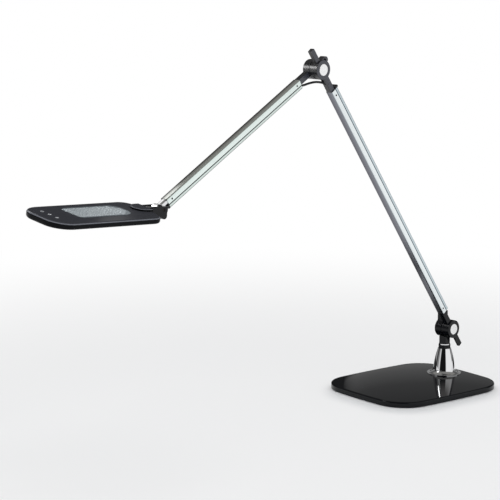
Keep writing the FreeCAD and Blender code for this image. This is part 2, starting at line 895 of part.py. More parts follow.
def make_head_knuckle():
    """The chrome bar at the end of the upper arm, with the eye of the tilt hinge."""
    half_h = knuckle_height / 2
    left = upper_arm_x - half_eye
    right = upper_arm_x + half_eye
    bar = block(left, right, upper_tube_end, upper_arm_length, -half_h, half_h)
    bar = round_along(bar, Y_AXIS, knuckle_round)
    eye = rod_x(eye_radius, left, right, upper_arm_length)
    half_sw = spigot_width / 2
    half_sh = spigot_height / 2
    spigot = block(upper_arm_x - half_sw, upper_arm_x + half_sw, upper_tube_end - spigot_length,
                   upper_tube_end, -half_sh, half_sh)
    knuckle = fused([bar, eye, spigot])
    cuts = [
        rod_x(tilt_pin_radius + running, left - overrun, right + overrun, upper_arm_length),
        grub_pocket(upper_arm_x, upper_tube_end - grub_setback),
    ]
    return turned(knuckle.cut(cuts), upper_arm_angle, elbow)


def at_yoke(shape):
    """A shape built about the tilt hinge with its front to -Y, tilted and moved to the arm's end."""
    copy = shape.copy()
    copy.rotate(ORIGIN, X_AXIS, head_pitch)
    copy.translate(Vec(upper_arm_x, tilt_hinge[0], tilt_hinge[1]))
    return copy


def at_head(shape):
    """A shape built level in the head's place, rolled about the twist axis, then placed with the yoke."""
    copy = shape.copy()
    copy.rotate(Vec(0, 0, twist_z), Y_AXIS, head_roll)
    return at_yoke(copy)


def make_head_yoke():
    """The yoke: two cheeks round the knuckle's eye and the twist spigot in front."""
    width = yoke_half_width
    round_end = rod_x(yoke_radius, -width, width)
    front = block(-width, width, -yoke_front, 0, yoke_bottom, yoke_top)
    heel = round_along(block(-width, width, -heel_front, heel_rear, -heel_depth, 0), X_AXIS, heel_round)
    body = round_at(fused([round_end, heel, front]), Y_AXIS, -yoke_front, yoke_round)
    slot = block(-yoke_slot_half, yoke_slot_half, -yoke_slot_front, yoke_radius + overrun,
                 -heel_depth - overrun, yoke_radius + overrun)
    spigot = rod_y(spigot_radius, -spigot_end, -yoke_slot_front - fit, 0, twist_z)
    crest = block(-width, width, -yoke_front, yoke_radius, yoke_top, yoke_radius + overrun)
    yoke = fused([body.cut([slot, crest]), spigot])
    pin_hole = rod_x(tilt_pin_radius + fit, -width - overrun, width + overrun)
    screw_hole = rod_y(retainer_screw_radius + fit, -spigot_end - overrun,
                       retainer_screw_length - spigot_end + fit, 0, twist_z)
    return at_yoke(yoke.cut([pin_hole, screw_hole]))


def make_tilt_pin():
    """The pin of the tilt hinge."""
    reach = yoke_half_width - tilt_pin_recess
    return at_yoke(rod_x(tilt_pin_radius, -reach, reach))


def make_tilt_washers():
    """The two friction washers inside the yoke's cheeks."""
    washers = []
    for start in (yoke_slot_half - tilt_washer, -yoke_slot_half):
        ring = rod_x(tilt_washer_radius, start, start + tilt_washer)
        hole = rod_x(tilt_pin_radius + fit, start - overrun, start + tilt_washer + overrun)
        washers.append(ring.cut(hole))
    return at_yoke(Part.makeCompound(washers))


def make_twist_retainer():
    """The screw that keeps the head on the yoke's spigot."""
    head = rod_y(retainer_radius, -spigot_end - retainer_head, -spigot_end, 0, twist_z)
    shaft = rod_y(retainer_screw_radius, -spigot_end, retainer_screw_length - spigot_end, 0, twist_z)
    return at_yoke(fused([head, shaft]))


def rounded_slab(rear, front, width, rear_corner, front_corner, z0, z1):
    """A slab in the head, between two distances forward of the hinge, with rounded corners."""
    half = width / 2
    slab = block(-half, half, -front, -rear, z0, z1)
    for place, corner in ((-front, front_corner), (-rear, rear_corner)):
        uprights = [edge for edge in slab.Edges if is_straight(edge, Z_AXIS)]
        slab = slab.makeFillet(corner, [edge for edge in uprights if lies_at(edge, Y_AXIS, place)])
    return slab


def head_slab(inset, z0, z1):
    """The head's outline, drawn in by an inset, between two heights."""
    return rounded_slab(plate_rear + inset, plate_front - inset, plate_width - 2 * inset,
                        plate_rear_corner - inset, plate_front_corner - inset, z0, z1)


def crowned_slab(z0):
    """The head's outline from a height up to its gently crowned top, with the top edge rounded."""
    crown = rod_y(crown_radius, -plate_front - overrun, overrun - plate_rear, 0, plate_top - crown_radius)
    slab = head_slab(0, z0, plate_top).common(crown)
    round_faces = [face for face in slab.Faces if isinstance(face.Surface, Part.Cylinder)]
    crown_face = max(round_faces, key=lambda face: face.Surface.Radius)
    return slab.makeFillet(plate_edge_round, crown_face.Edges)


def head_boss_places():
    """The four head screws' (x, y) places."""
    side = plate_width / 2 - head_boss_side_inset
    rows = (-plate_rear - head_boss_rear_inset, -plate_front + head_boss_front_inset)
    return [(end * side, row) for row in rows for end in (-1, 1)]


def mark_places():
    """The touch marks' (x, y) places."""
    first = -(mark_count - 1) / 2
    return [((first + number) * mark_pitch, mark_setback - plate_front) for number in range(mark_count)]


def twist_bore(end):
    """The bore for the twist bush, and further on for the retainer."""
    return rod_y(twist_bush_radius + fit, -end, -collar_face + overrun, 0, twist_z)


def panel_slab(inset, z0, z1):
    """The heat panel's outline between two heights."""
    return rounded_slab(panel_rear + inset, panel_front - inset, panel_width - 2 * inset,
                        panel_rear_corner - inset, panel_front_corner - inset, z0, z1)


def make_head_top_cover():
    """The head's upper shell, with the hump over the twist bush."""
    outer = crowned_slab(shell_split)
    shell = outer.cut(head_slab(shell_wall, shell_split - overrun, top_ceiling))
    disc = rod_z(hump_radius, shell_split, hump_top, 0, -hump_centre)
    rear = block(-hump_radius, hump_radius, -hump_centre, -collar_face, shell_split, hump_top)
    behind = block(-hump_radius, hump_radius, -collar_face, hump_radius, shell_split, hump_top)
    hump = round_at(fused([disc.cut(behind), rear]), Z_AXIS, hump_top, hump_round)
    boss_end = skin_top + fit
    bosses = [rod_z(head_boss_radius, boss_end, top_ceiling, x, y) for x, y in head_boss_places()]
    cover = fused([shell, hump] + bosses)
    cuts = [twist_bore(pocket_end)]
    cuts.append(panel_slab(0, plate_top - panel_depth, plate_top + overrun))
    cuts.append(rod_z(plug_radius + fit, hump_top - plug_depth, hump_top + overrun, 0, -hump_centre))
    for x, y in mark_places():
        cuts.append(rod_z(mark_radius + fit, plate_top - mark_depth, plate_top + overrun, x, y))
    for x, y in head_boss_places():
        cuts.append(rod_z(head_screw_radius + fit, boss_end - overrun, skin_top + head_screw_grip, x, y))
    return at_head(cover.cut(cuts))


def window_slab(lip, z0, z1):
    """The light window's outline, widened by a lip."""
    return rounded_slab(led_board_rear - lip, led_board_front + lip, led_board_width + 2 * lip,
                        panel_front_corner + lip, panel_front_corner + lip, z0, z1)


def make_head_bottom_cover():
    """The head's lower shell, with the light window and the lower half of the twist saddle."""
    outer = round_at(head_slab(0, plate_bottom, shell_split), Z_AXIS, plate_bottom, plate_edge_round)
    shell = outer.cut(head_slab(shell_wall, skin_top, shell_split + overrun))
    saddle = block(-saddle_half_width, saddle_half_width, -pocket_end, -plate_rear - overrun,
                   plate_bottom, shell_split)
    rear = block(-hump_radius, hump_radius, -hump_centre, -collar_face, plate_bottom, shell_split)
    cover = fused([shell, saddle, rear])
    cuts = [twist_bore(pocket_end), window_slab(0, plate_bottom - overrun, skin_top + overrun)]
    for x, y in head_boss_places():
        head_top = plate_bottom + head_screw_head_height
        cuts.append(rod_z(head_screw_head_radius + fit, plate_bottom - overrun, head_top, x, y))
        cuts.append(rod_z(head_screw_radius + screw_room, plate_bottom, skin_top + overrun, x, y))
    return at_head(cover.cut(cuts))


def make_head_screws():
    """Four screws from below that join the two shells."""
    screws = []
    for x, y in head_boss_places():
        head = rod_z(head_screw_head_radius, plate_bottom, plate_bottom + head_screw_head_height, x, y)
        shaft = rod_z(head_screw_radius, plate_bottom, skin_top + head_screw_grip - fit, x, y)
        screws.append(fused([head, shaft]))
    return at_head(Part.makeCompound(screws))


def make_heat_panel():
    """The grey grid panel let into the head's top."""
    return at_head(panel_slab(fit, plate_top - panel_depth, plate_top + panel_proud))


def make_touch_marks():
    """The three touch marks let into the head's top."""
    low = plate_top - mark_depth
    high = plate_top + mark_proud
    marks = [rod_z(mark_radius, low, high, x, y) for x, y in mark_places()]
    return at_head(Part.makeCompound(marks))


def board_under_ceiling(rear, front, width):
    """A flat board against the head's ceiling."""
    half = width / 2
    return block(-half, half, -front, -rear, top_ceiling - led_board_thickness, top_ceiling)


def make_led_chips():
    """The rows of LED chips under their board."""
    bottom = top_ceiling - led_board_thickness
    half = led_size / 2
    step_x = led_board_width / led_rows
    step_y = (led_board_front - led_board_rear) / led_columns
    chips = []
    for row in range(led_rows):
        for column in range(led_columns):
            x = (2 * row + 1) * step_x / 2 - led_board_width / 2
            y = -led_board_rear - (2 * column + 1) * step_y / 2
            chips.append(block(x - half, x + half, y - half, y + half, bottom - led_height, bottom))
    return at_head(Part.makeCompound(chips))


def make_diffuser():
    """The diffuser that lies on the light window's lip."""
    return at_head(window_slab(window_lip, skin_top, skin_top + diffuser_thickness))


def make_twist_bush():
    """The bush between the two shells that turns on the yoke's spigot."""
    end = collar_face + twist_bush_length
    sleeve = rod_y(twist_bush_radius, -end, -collar_face, 0, twist_z)
    bore = rod_y(spigot_radius + running, -end - overrun, -collar_face + overrun, 0, twist_z)
    return at_head(sleeve.cut(bore))


def make_hump_plug():
    """The small plug on top of the hump."""
    return at_head(rod_z(plug_radius, hump_top - plug_depth, hump_top + plug_proud, 0, -hump_centre))


def grub_group(x_middle, places, angle, hinge):
    """An arm's grub screws."""
    return turned(Part.makeCompound([grub_screw(x_middle, place) for place in places]), angle, hinge)


def hinge_pieces(name, place):
    """The bolt, nut, washers and cap of one arm hinge, by node name."""
    return {
        name + "_bolt": make_hinge_bolt(place),
        name + "_nut": make_hinge_nut(place),
        name + "_friction_washer": bolt_ring(friction_washer_radius, far_inner + face_gap, near_inner, place),
        name + "_spring_washer": bolt_ring(spring_washer_radius, counterbore_floor, spring_washer_top, place),
        name + "_cap": make_hinge_cap(place),
    }


def all_pieces():
    """Every piece of the lamp by node name."""
    pieces = {
        "base_pad": make_base_pad(),
        "base_weight": make_base_weight(),
        "base_cover": make_base_cover(),
        "base_screws": make_base_screws(),
        "dc_inlet": make_dc_inlet(),
        "dc_inlet_pin": make_dc_inlet_pin(),
        "driver_board": make_driver_board(),
        "base_lead": make_base_lead(),
        "swivel_cone": make_swivel_cone(),
        "cone_screws": make_cone_screws(),
        "swivel_bush": make_swivel_bush(),
        "shoulder_post": make_shoulder_post(),
        "post_foot": shank_ring(foot_radius, foot_bottom, collar_bottom),
        "swivel_collar": shank_ring(collar_radius, collar_bottom, neck_bottom),
        "swivel_washer": shank_ring(swivel_washer_radius, washer_bottom, washer_bottom + swivel_washer),
        "swivel_nut": make_swivel_nut(),
        "lower_knuckle": make_near_knuckle(lower_arm_angle, shoulder, shoulder_tail_inner),
        "lower_arm_tube": make_lower_arm_tube(),
        "lower_channel_strip": turned(channel_strip(lower_arm_x, lower_setback, lower_tube_end, lower_side),
                                      lower_arm_angle, shoulder),
        "lower_arm_cable": make_lower_arm_cable(),
        "lower_channel_cap": make_lower_channel_cap(),
        "lower_arm_screws": grub_group(lower_arm_x, lower_grubs, lower_arm_angle, shoulder),
        "middle_knuckle": make_middle_knuckle(),
        "upper_knuckle": make_upper_knuckle(),
        "upper_arm_tube": make_upper_arm_tube(),
        "upper_channel_strip": turned(channel_strip(upper_arm_x, upper_setback, upper_tube_end, upper_side),
                                      upper_arm_angle, elbow),
        "upper_arm_cable": make_upper_arm_cable(),
        "upper_arm_screws": grub_group(upper_arm_x, upper_grubs, upper_arm_angle, elbow),
        "elbow_cable": make_elbow_cable(),
        "channel_end_cap": make_channel_end_cap(),
        "head_knuckle": make_head_knuckle(),
        "head_yoke": make_head_yoke(),
        "tilt_pin": make_tilt_pin(),
        "tilt_washers": make_tilt_washers(),
        "twist_retainer": make_twist_retainer(),
        "head_top_cover": make_head_top_cover(),
        "head_bottom_cover": make_head_bottom_cover(),
        "head_screws": make_head_screws(),
        "heat_panel": make_heat_panel(),
        "touch_marks": make_touch_marks(),
        "touch_board": at_head(board_under_ceiling(touch_board_rear, touch_board_front, touch_board_width)),
        "led_board": at_head(board_under_ceiling(led_board_rear, led_board_front, led_board_width)),
        "led_chips": make_led_chips(),
        "diffuser": make_diffuser(),
        "twist_bush": make_twist_bush(),
        "hump_plug": make_hump_plug(),
    }
    pieces.update(hinge_pieces("shoulder", shoulder))
    pieces.update(hinge_pieces("elbow", elbow))
    return pieces


os.makedirs("parts", exist_ok=True)
for piece_name, piece in all_pieces().items():
    save(piece_name, piece)
print("shoulder", shoulder, "elbow", elbow, "tilt hinge", tilt_hinge)
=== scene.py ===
"""The looks of a swing-arm LED desk lamp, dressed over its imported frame.

Lengths are metres in the lamp's own frame: Z points up, the lamp head lies towards -Y and the
hinge caps face +X. Pieces of the head and the arms are made in a plain local frame, with the head
or arm along Y, and then put in place.
"""
import logging
import math
from dataclasses import dataclass, replace
from enum import Enum
from typing import Any, Mapping, Optional, Sequence, Union

import bmesh
import bpy
from mathutils import Matrix, Vector


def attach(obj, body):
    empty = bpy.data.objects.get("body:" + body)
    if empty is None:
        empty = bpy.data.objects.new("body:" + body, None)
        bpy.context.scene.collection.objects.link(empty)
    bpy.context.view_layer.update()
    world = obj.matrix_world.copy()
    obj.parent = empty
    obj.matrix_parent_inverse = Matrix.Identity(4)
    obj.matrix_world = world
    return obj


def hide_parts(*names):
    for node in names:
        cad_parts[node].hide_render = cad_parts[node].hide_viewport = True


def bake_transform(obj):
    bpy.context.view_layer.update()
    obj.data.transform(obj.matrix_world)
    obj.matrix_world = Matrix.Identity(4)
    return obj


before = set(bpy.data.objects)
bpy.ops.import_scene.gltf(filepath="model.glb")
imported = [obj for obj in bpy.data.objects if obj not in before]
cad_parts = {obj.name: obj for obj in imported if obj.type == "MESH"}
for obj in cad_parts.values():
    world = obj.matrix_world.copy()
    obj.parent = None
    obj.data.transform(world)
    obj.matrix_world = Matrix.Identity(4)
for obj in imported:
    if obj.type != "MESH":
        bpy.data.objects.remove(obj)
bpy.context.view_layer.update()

LOG = logging.getLogger("desk_lamp")

MM = 0.001
Colour = tuple[float, float, float, float]
Point = tuple[float, float, float]
Flat = tuple[float, float]
Stops = Sequence[tuple[float, Colour]]
Number = Union[float, "Wire"]

# Places, angles in degrees about X and a direction that finishes and pieces share.
SHOULDER: Point = (0.0, 0.066, 0.07225)
ELBOW: Point = (0.0, -0.20438121605, 0.44439781741)
LOWER_ANGLE = 126.0
UPPER_ANGLE = 209.1
HEAD_PITCH = -3.6
HEAD_TOP: Point = (0.156, 0.062, 0.986)

WHITE: Colour = (1.0, 1.0, 1.0, 1.0)


def paint(code: str) -> Colour:
    """A linear colour from a six-digit display code.

    Args:
        code: The colour as rrggbb.

    Returns:
        Linear red, green, blue and full alpha.
    """
    shares = [int(code[at:at + 2], 16) / 255 for at in (0, 2, 4)]
    linear = [c / 12.92 if c <= 0.04045 else ((c + 0.055) / 1.055) ** 2.4 for c in shares]
    return (linear[0], linear[1], linear[2], 1.0)


def grey(level: float) -> Colour:
    """A linear grey."""
    return (level, level, level, 1.0)


# ---------------------------------------------------------------------------------------------
# Node trees


class Wire:
    """A node's output that takes part in Python arithmetic."""

    def __init__(self, tree: "NodeTree", socket: bpy.types.NodeSocket) -> None:
        """Holds the socket and the tree that it belongs to."""
        self.tree = tree
        self.socket = socket

    def __add__(self, other: Number) -> "Wire":
        """The sum with a number or wire."""
        return self.tree.math("ADD", self, other)

    def __radd__(self, other: Number) -> "Wire":
        """The sum with a number on the left."""
        return self.tree.math("ADD", other, self)

    def __sub__(self, other: Number) -> "Wire":
        """The difference to a number or wire."""
        return self.tree.math("SUBTRACT", self, other)

    def __rsub__(self, other: Number) -> "Wire":
        """The difference from a number on the left."""
        return self.tree.math("SUBTRACT", other, self)

    def __mul__(self, other: Number) -> "Wire":
        """The product with a number or wire."""
        return self.tree.math("MULTIPLY", self, other)

    def __rmul__(self, other: Number) -> "Wire":
        """The product with a number on the left."""
        return self.tree.math("MULTIPLY", other, self)

    def __truediv__(self, other: Number) -> "Wire":
        """The quotient by a number or wire."""
        return self.tree.math("DIVIDE", self, other)

    def __rtruediv__(self, other: Number) -> "Wire":
        """The quotient of a number on the left."""
        return self.tree.math("DIVIDE", other, self)


class NodeTree:
    """Adds nodes to a tree, for surfaces and forms alike."""

    def __init__(self, tree: bpy.types.NodeTree) -> None:
        """Holds the tree that the nodes go into."""
        self.tree = tree

    def node(self, kind: str, sockets: Optional[Mapping[Any, Any]] = None, **settings: Any) -> bpy.types.Node:
        """Adds one node.

        Args:
            kind: The node's type.
            sockets: A value, a wire or a list of wires by the input's name or number.
            settings: The node's settings, set first. "stops" fills a ramp with (place, colour) pairs.

        Returns:
            The new node.
        """
        made = self.tree.nodes.new(kind)
        for key, value in settings.items():
            if key == "stops":
                self._fill(made.color_ramp.elements, value)
            else:
                setattr(made, key, value)
        for key, value in (sockets or {}).items():
            for one in value if isinstance(value, list) else [value]:
                if isinstance(one, Wire):
                    self.tree.links.new(one.socket, made.inputs[key])
                else:
                    made.inputs[key].default_value = one
        return made

    @staticmethod
    def _fill(elements: Any, stops: Stops) -> None:
        """Gives a ramp its stops, reusing the two that it starts with.

        Args:
            elements: The ramp's elements.
            stops: The place and the colour of each stop.
        """
        while len(elements) < len(stops):
            elements.new(1.0)
        for element, (place, colour) in zip(elements, stops):
            element.position = place
            element.color = colour

    def out(self, made: bpy.types.Node, key: Union[str, int] = 0) -> Wire:
        """One output of a node as a wire."""
        return Wire(self, made.outputs[key])

    def math(self, operation: str, *values: Number, clamp: bool = False) -> Wire:
        """A Math node's result for one to three numbers or wires."""
        made = self.node("ShaderNodeMath", dict(enumerate(values)), operation=operation, use_clamp=clamp)
        return self.out(made)

    def vector(self, operation: str, first: Any, second: Any, key: str = "Vector") -> Wire:
        """A Vector Math node's result for two vectors."""
        return self.out(self.node("ShaderNodeVectorMath", {0: first, 1: second}, operation=operation), key)

    def span(self, x: Wire, y: Wire) -> Wire:
        """The length of a flat vector."""
        return self.math("SQRT", x * x + y * y)

    def parts(self, vector: Wire) -> tuple[Wire, Wire, Wire]:
        """The three components of a vector."""
        made = self.node("ShaderNodeSeparateXYZ", {0: vector})
        return self.out(made, 0), self.out(made, 1), self.out(made, 2)

    def step(self, value: Wire, low: float, high: float) -> Wire:
        """A smooth rise from 0 at low to 1 at high."""
        ends = {"Value": value, "From Min": low, "From Max": high}
        return self.out(self.node("ShaderNodeMapRange", ends, interpolation_type="SMOOTHSTEP"))


class ShaderTree(NodeTree):
    """The node tree of a material or of the world."""

    def __init__(self, tree: bpy.types.NodeTree) -> None:
        """Starts from an empty tree."""
        super().__init__(tree)
        tree.nodes.clear()

    def spot(self, kind: str = "Object") -> Wire:
        """The place on the piece in the lamp's frame, or another coordinate by its name."""
        return self.out(self.node("ShaderNodeTexCoord"), kind)

    def laid(self, vector: Wire, turn: Point) -> Wire:
        """A vector turned by three angles."""
        return self.out(self.node("ShaderNodeMapping", {"Vector": vector, "Rotation": turn}))

    def noise(self, vector: Wire, scale: float, detail: float = 2.0, rough: float = 0.5) -> Wire:
        """Soft noise from 0 to 1."""
        sockets = {"Vector": vector, "Scale": scale, "Detail": detail, "Roughness": rough}
        return self.out(self.node("ShaderNodeTexNoise", sockets), 0)

    def mix(self, share: Number, first: Any, second: Any, blend: str = "MIX") -> Wire:
        """A colour between two colours, or their blend."""
        made = self.node("ShaderNodeMix", {0: share, 6: first, 7: second}, data_type="RGBA", blend_type=blend)
        return self.out(made, 2)

    def ramp(self, share: Wire, stops: Stops) -> Wire:
        """A ramp's colour at a share from 0 to 1."""
        return self.out(self.node("ShaderNodeValToRGB", {0: share}, stops=stops))

    def bump(self, height: Wire, distance: float, strength: float) -> Wire:
        """A normal that follows a height from 0 to 1."""
        sockets = {"Height": height, "Distance": distance, "Strength": strength}
        return self.out(self.node("ShaderNodeBump", sockets))

    def surface(self, sockets: Mapping[str, Any]) -> Wire:
        """A Principled shader with these sockets."""
        return self.out(self.node("ShaderNodeBsdfPrincipled", sockets))

    def shine(self, colour: Any) -> Wire:
        """A shader that shows a colour as it is, whatever the light."""
        return self.out(self.node("ShaderNodeEmission", {"Color": colour, "Strength": 1.0}))

    def end(self, shader: Wire, kind: str = "ShaderNodeOutputMaterial") -> None:
        """Joins a shader to the tree's output."""
        self.node(kind, {"Surface": shader})


class FormTree(NodeTree):
    """A Geometry Nodes tree with named inputs for its sizes."""

    def __init__(self, name: str, sizes: Mapping[str, Union[float, int]]) -> None:
        """Makes the tree and an input for each size.

        Args:
            name: The tree's name.
            sizes: The sizes by name, whole numbers for counts.
        """
        super().__init__(bpy.data.node_groups.new(name, "GeometryNodeTree"))
        self.sizes = dict(sizes)
        face = self.tree.interface
        face.new_socket("Seed Mesh", in_out="INPUT", socket_type="NodeSocketGeometry")
        face.new_socket("Form", in_out="OUTPUT", socket_type="NodeSocketGeometry")
        for label, value in self.sizes.items():
            kind = "NodeSocketInt" if isinstance(value, int) else "NodeSocketFloat"
            face.new_socket(label, in_out="INPUT", socket_type=kind)
        self.source = self.node("NodeGroupInput")

    def size(self, label: str) -> Wire:
        """A named size as a wire."""
        return self.out(self.source, label)

    def seed(self) -> Wire:
        """The mesh that the tree runs on."""
        return self.out(self.source, "Seed Mesh")

    def form(self, kind: str, sockets: Mapping[Any, Any], **settings: Any) -> Wire:
        """The geometry that a Geometry Nodes node gives."""
        return self.out(self.node("GeometryNode" + kind, sockets, **settings))

    def triple(self, x: Number, y: Number, z: Number) -> Wire:
        """A vector from three numbers or wires."""
        return self.out(self.node("ShaderNodeCombineXYZ", {0: x, 1: y, 2: z}))

    def moved(self, mesh: Wire, shift: Any = (0, 0, 0), turn: Point = (0, 0, 0)) -> Wire:
        """A geometry shifted and turned."""
        return self.form("Transform", {"Geometry": mesh, "Translation": shift, "Rotation": turn})

    def grow(self, form: Wire, name: str, seed: bpy.types.Mesh, finish: "Finish",
             place: Matrix) -> bpy.types.Object:
        """Ends the tree, runs it once and keeps the result as a plain mesh.

        Args:
            form: The geometry to keep.
            name: The new piece's name.
            seed: The mesh that the tree runs on.
            finish: The piece's finish.
            place: Where the local frame lies on the lamp.

        Returns:
            The finished piece at the origin, with its place in its mesh.
        """
        real = self.form("RealizeInstances", {"Geometry": form})
        coated = self.form("SetMaterial", {"Geometry": real, "Material": finish.material()})
        self.node("NodeGroupOutput", {0: coated})
        carrier = bpy.data.objects.new(name + "_seed", seed)
        bpy.context.collection.objects.link(carrier)
        modifier = carrier.modifiers.new("form", "NODES")
        modifier.node_group = self.tree
        for item in self.tree.interface.items_tree:
            if item.in_out == "INPUT" and item.name in self.sizes:
                modifier[item.identifier] = self.sizes[item.name]
        graph = bpy.context.evaluated_depsgraph_get()
        mesh = bpy.data.meshes.new_from_object(carrier.evaluated_get(graph), depsgraph=graph)
        bpy.data.objects.remove(carrier)
        mesh.transform(place)
        return placed(name, mesh)


def blank(name: str) -> tuple[bpy.types.Material, ShaderTree]:
    """A new material and its empty tree.

    Args:
        name: The material's name.

    Returns:
        The material and the tree to fill.
    """
    made = bpy.data.materials.new(name)
    made.use_nodes = True
    return made, ShaderTree(made.node_tree)


# ---------------------------------------------------------------------------------------------
# Finishes


class Grain(Enum):
    """How the fine marks of a finish run."""

    CAST = "soft even pimples"
    BRUSHED = "streaks along the piece"
    TURNED = "rings about a shaft"


# Brushed marks are drawn out along Y by this share.
STREAK: Point = (1.0, 0.012, 1.0)


@dataclass(frozen=True)
class Finish:
    """One surface finish and the marks that it shows close up.

    Attributes:
        name: The material's name.
        colour: The main colour, as rrggbb.
        drift: The colour that the marks and clouds lean towards.
        metallic: 1 for bare metal.
        roughness: The mean roughness.
        spread: How far the marks move the roughness.
        grain: How the marks run.
        pitch: The distance between marks.
        relief: The height of the marks.
        strength: How strongly the relief shows.
        cloud: The size of the soft clouds in the colour.
        turn: The lay of brushed marks, in degrees about X.
        centre: A point on the shaft of turned marks, which lies along X.
        specular: The strength of the plain reflection.
        mark_share: How far the marks draw the colour.
        cloud_share: How far the clouds draw it.
        cloud_shift: What is added to the clouds' draw.
    """

    name: str
    colour: str
    drift: str
    metallic: float = 0.0
    roughness: float = 0.5
    spread: float = 0.1
    grain: Grain = Grain.CAST
    pitch: float = 0.8 * MM
    relief: float = 0.02 * MM
    strength: float = 0.3
    cloud: float = 30 * MM
    turn: float = 0.0
    centre: Point = (0.0, 0.0, 0.0)
    specular: float = 0.5
    mark_share: float = 0.5
    cloud_share: float = 0.7
    cloud_shift: float = -0.1

    def material(self) -> bpy.types.Material:
        """The finish as a material.

        Returns:
            The material, made on its first use.
        """
        made = bpy.data.materials.get(self.name)
        if made is None:
            made, tree = blank(self.name)
            self.shade(tree)
        return made

    def lay(self) -> Point:
        """The turn that brings the length of the marks to Y."""
        return (math.radians(-self.turn), 0.0, 0.0)

    def marks(self, tree: ShaderTree) -> Wire:
        """The fine marks as a height from 0 to 1.

        Args:
            tree: The tree that the nodes go into.

        Returns:
            The height of the marks.
        """
        spot = tree.spot()
        if self.grain is Grain.BRUSHED:
            drawn = tree.vector("MULTIPLY", tree.laid(spot, self.lay()), STREAK)
            return tree.noise(drawn, 1 / self.pitch, detail=3.0, rough=0.6)
        if self.grain is Grain.TURNED:
            _, across, up = tree.parts(tree.vector("SUBTRACT", spot, self.centre))
            sockets = {"W": tree.span(across, up), "Scale": 1 / self.pitch, "Detail": 2.0}
            return tree.out(tree.node("ShaderNodeTexNoise", sockets, noise_dimensions="1D"), 0)
        return tree.noise(spot, 1 / self.pitch)

    def tint(self, tree: ShaderTree, colour: Wire) -> Wire:
        """The finish's colour, with what a kind of finish adds to it."""
        return colour

    def shade(self, tree: ShaderTree) -> None:
        """Fills the material's tree.

        Args:
            tree: The empty tree.
        """
        marks = self.marks(tree)
        clouds = tree.noise(tree.spot(), 1 / self.cloud)
        drawn = clouds * self.cloud_share + self.cloud_shift
        share = tree.math("MULTIPLY_ADD", marks, self.mark_share, drawn, clamp=True)
        colour = tree.mix(share, paint(self.colour), paint(self.drift))
        tree.end(tree.surface({
            "Base Color": self.tint(tree, colour),
            "Metallic": self.metallic,
            "Roughness": tree.math("ADD", (marks + clouds - 1) * self.spread, self.roughness, clamp=True),
            "Normal": tree.bump(marks, self.relief, self.strength),
            "Specular IOR Level": self.specular,
        }))


@dataclass(frozen=True)
class ArmFinish(Finish):
    """The brushed finish of an arm's extrusion, with painted shade and painted reflections round its section.

    Attributes:
        back: The side that the closed back faces, +1 or -1 along the local Z.
        middle: The extrusion's middle along X.
        half: Its half width.
        depth: The distance from its middle to the closed back.
        edge: How far the back's painted shading reaches round its far edge.
        far_start: The width over which that reach begins, from the middle.
        back_end: Where the back's painted shading starts and ends giving way, from the closed back.
        face_reach: How far from the closed back the sides' painted shading may lie.
        face_painted_shading: Painted light and shade up the sides from the closed back, light bands with a
            dark groove and a dark lip, by distance from the middle.
        back_painted_shading: Painted shade and painted reflection across the closed back, from the far edge
            to the near edge, by share.
    """

    back: int = 1
    middle: float = 0.0
    half: float = 5.6 * MM
    depth: float = 4.1 * MM
    edge: float = 1.5 * MM
    far_start: float = 1.0 * MM
    back_end: Flat = (0.15 * MM, 0.7 * MM)
    face_reach: float = 12 * MM
    face_painted_shading: Sequence[tuple[float, str]] = ()
    back_painted_shading: Sequence[tuple[float, str]] = ()

    def tint(self, tree: ShaderTree, colour: Wire) -> Wire:
        """The brushed colour times the section's painted shade and painted reflections.

        Args:
            tree: The tree that the nodes go into.
            colour: The brushed colour.

        Returns:
            The colour with painted shade on the back, the groove and the lip.
        """
        moved = tree.vector("SUBTRACT", tree.spot(), self.centre)
        across, _, height = tree.parts(tree.laid(moved, self.lay()))
        out = height * -self.back
        # Painted light and shade up the sides: light bands, a dark groove and a dark lip.
        rise = tree.ramp((out + self.depth) / self.face_reach,
                         [((at + self.depth) / self.face_reach, paint(tone)) for at, tone in self.face_painted_shading])
        # Painted shade and painted reflection across the closed back.
        span = tree.ramp((across - (self.middle - self.half)) / (2 * self.half),
                         [(at, paint(tone)) for at, tone in self.back_painted_shading])
        # Painted shade round the back's far edge.
        far = tree.step(self.middle - across, 0.0, self.far_start)
        start, end = (at - self.depth for at in self.back_end)
        on_back = 1 - tree.step(out - far * self.edge, start, end)
        return tree.mix(1.0, colour, tree.mix(on_back, rise, span), "MULTIPLY")


@dataclass(frozen=True)
class PaintedLightFinish(Finish):
    """A finish with painted light and shade: its flat faces that look one way are painted lighter than the
    rest of the piece.

    Attributes:
        way: The direction that the lighter faces look.
        painted_lit_colour: The colour of the painted light on them.
        painted_lit_lean: How squarely a face looks that way where the painted light starts and is full.
        painted_highlight_colour: The colour of the painted highlight on the rounded edge round them, or
            nothing.
        painted_highlight_lean: The same two leans for the painted highlight.
    """

    way: Point = (1.0, 0.0, 0.0)
    painted_lit_colour: str = "000000"
    painted_lit_lean: Flat = (0.72, 0.88)
    painted_highlight_colour: str = ""
    painted_highlight_lean: Flat = (0.30, 0.50)

    def tint(self, tree: ShaderTree, colour: Wire) -> Wire:
        """The finish's colour, with painted light on its lighter faces and a painted highlight on their
        edges.

        Args:
            tree: The tree that the nodes go into.
            colour: The colour of the other faces.

        Returns:
            The colour by the way that the surface looks.
        """
        lean = tree.vector("DOT_PRODUCT", tree.spot("Normal"), self.way, "Value")
        # Painted highlight on the rounded edge round the lighter faces.
        if self.painted_highlight_colour:
            colour = tree.mix(tree.step(lean, *self.painted_highlight_lean), colour, paint(self.painted_highlight_colour))
        # Painted light on the faces that look the given way.
        return tree.mix(tree.step(lean, *self.painted_lit_lean), colour, paint(self.painted_lit_colour))


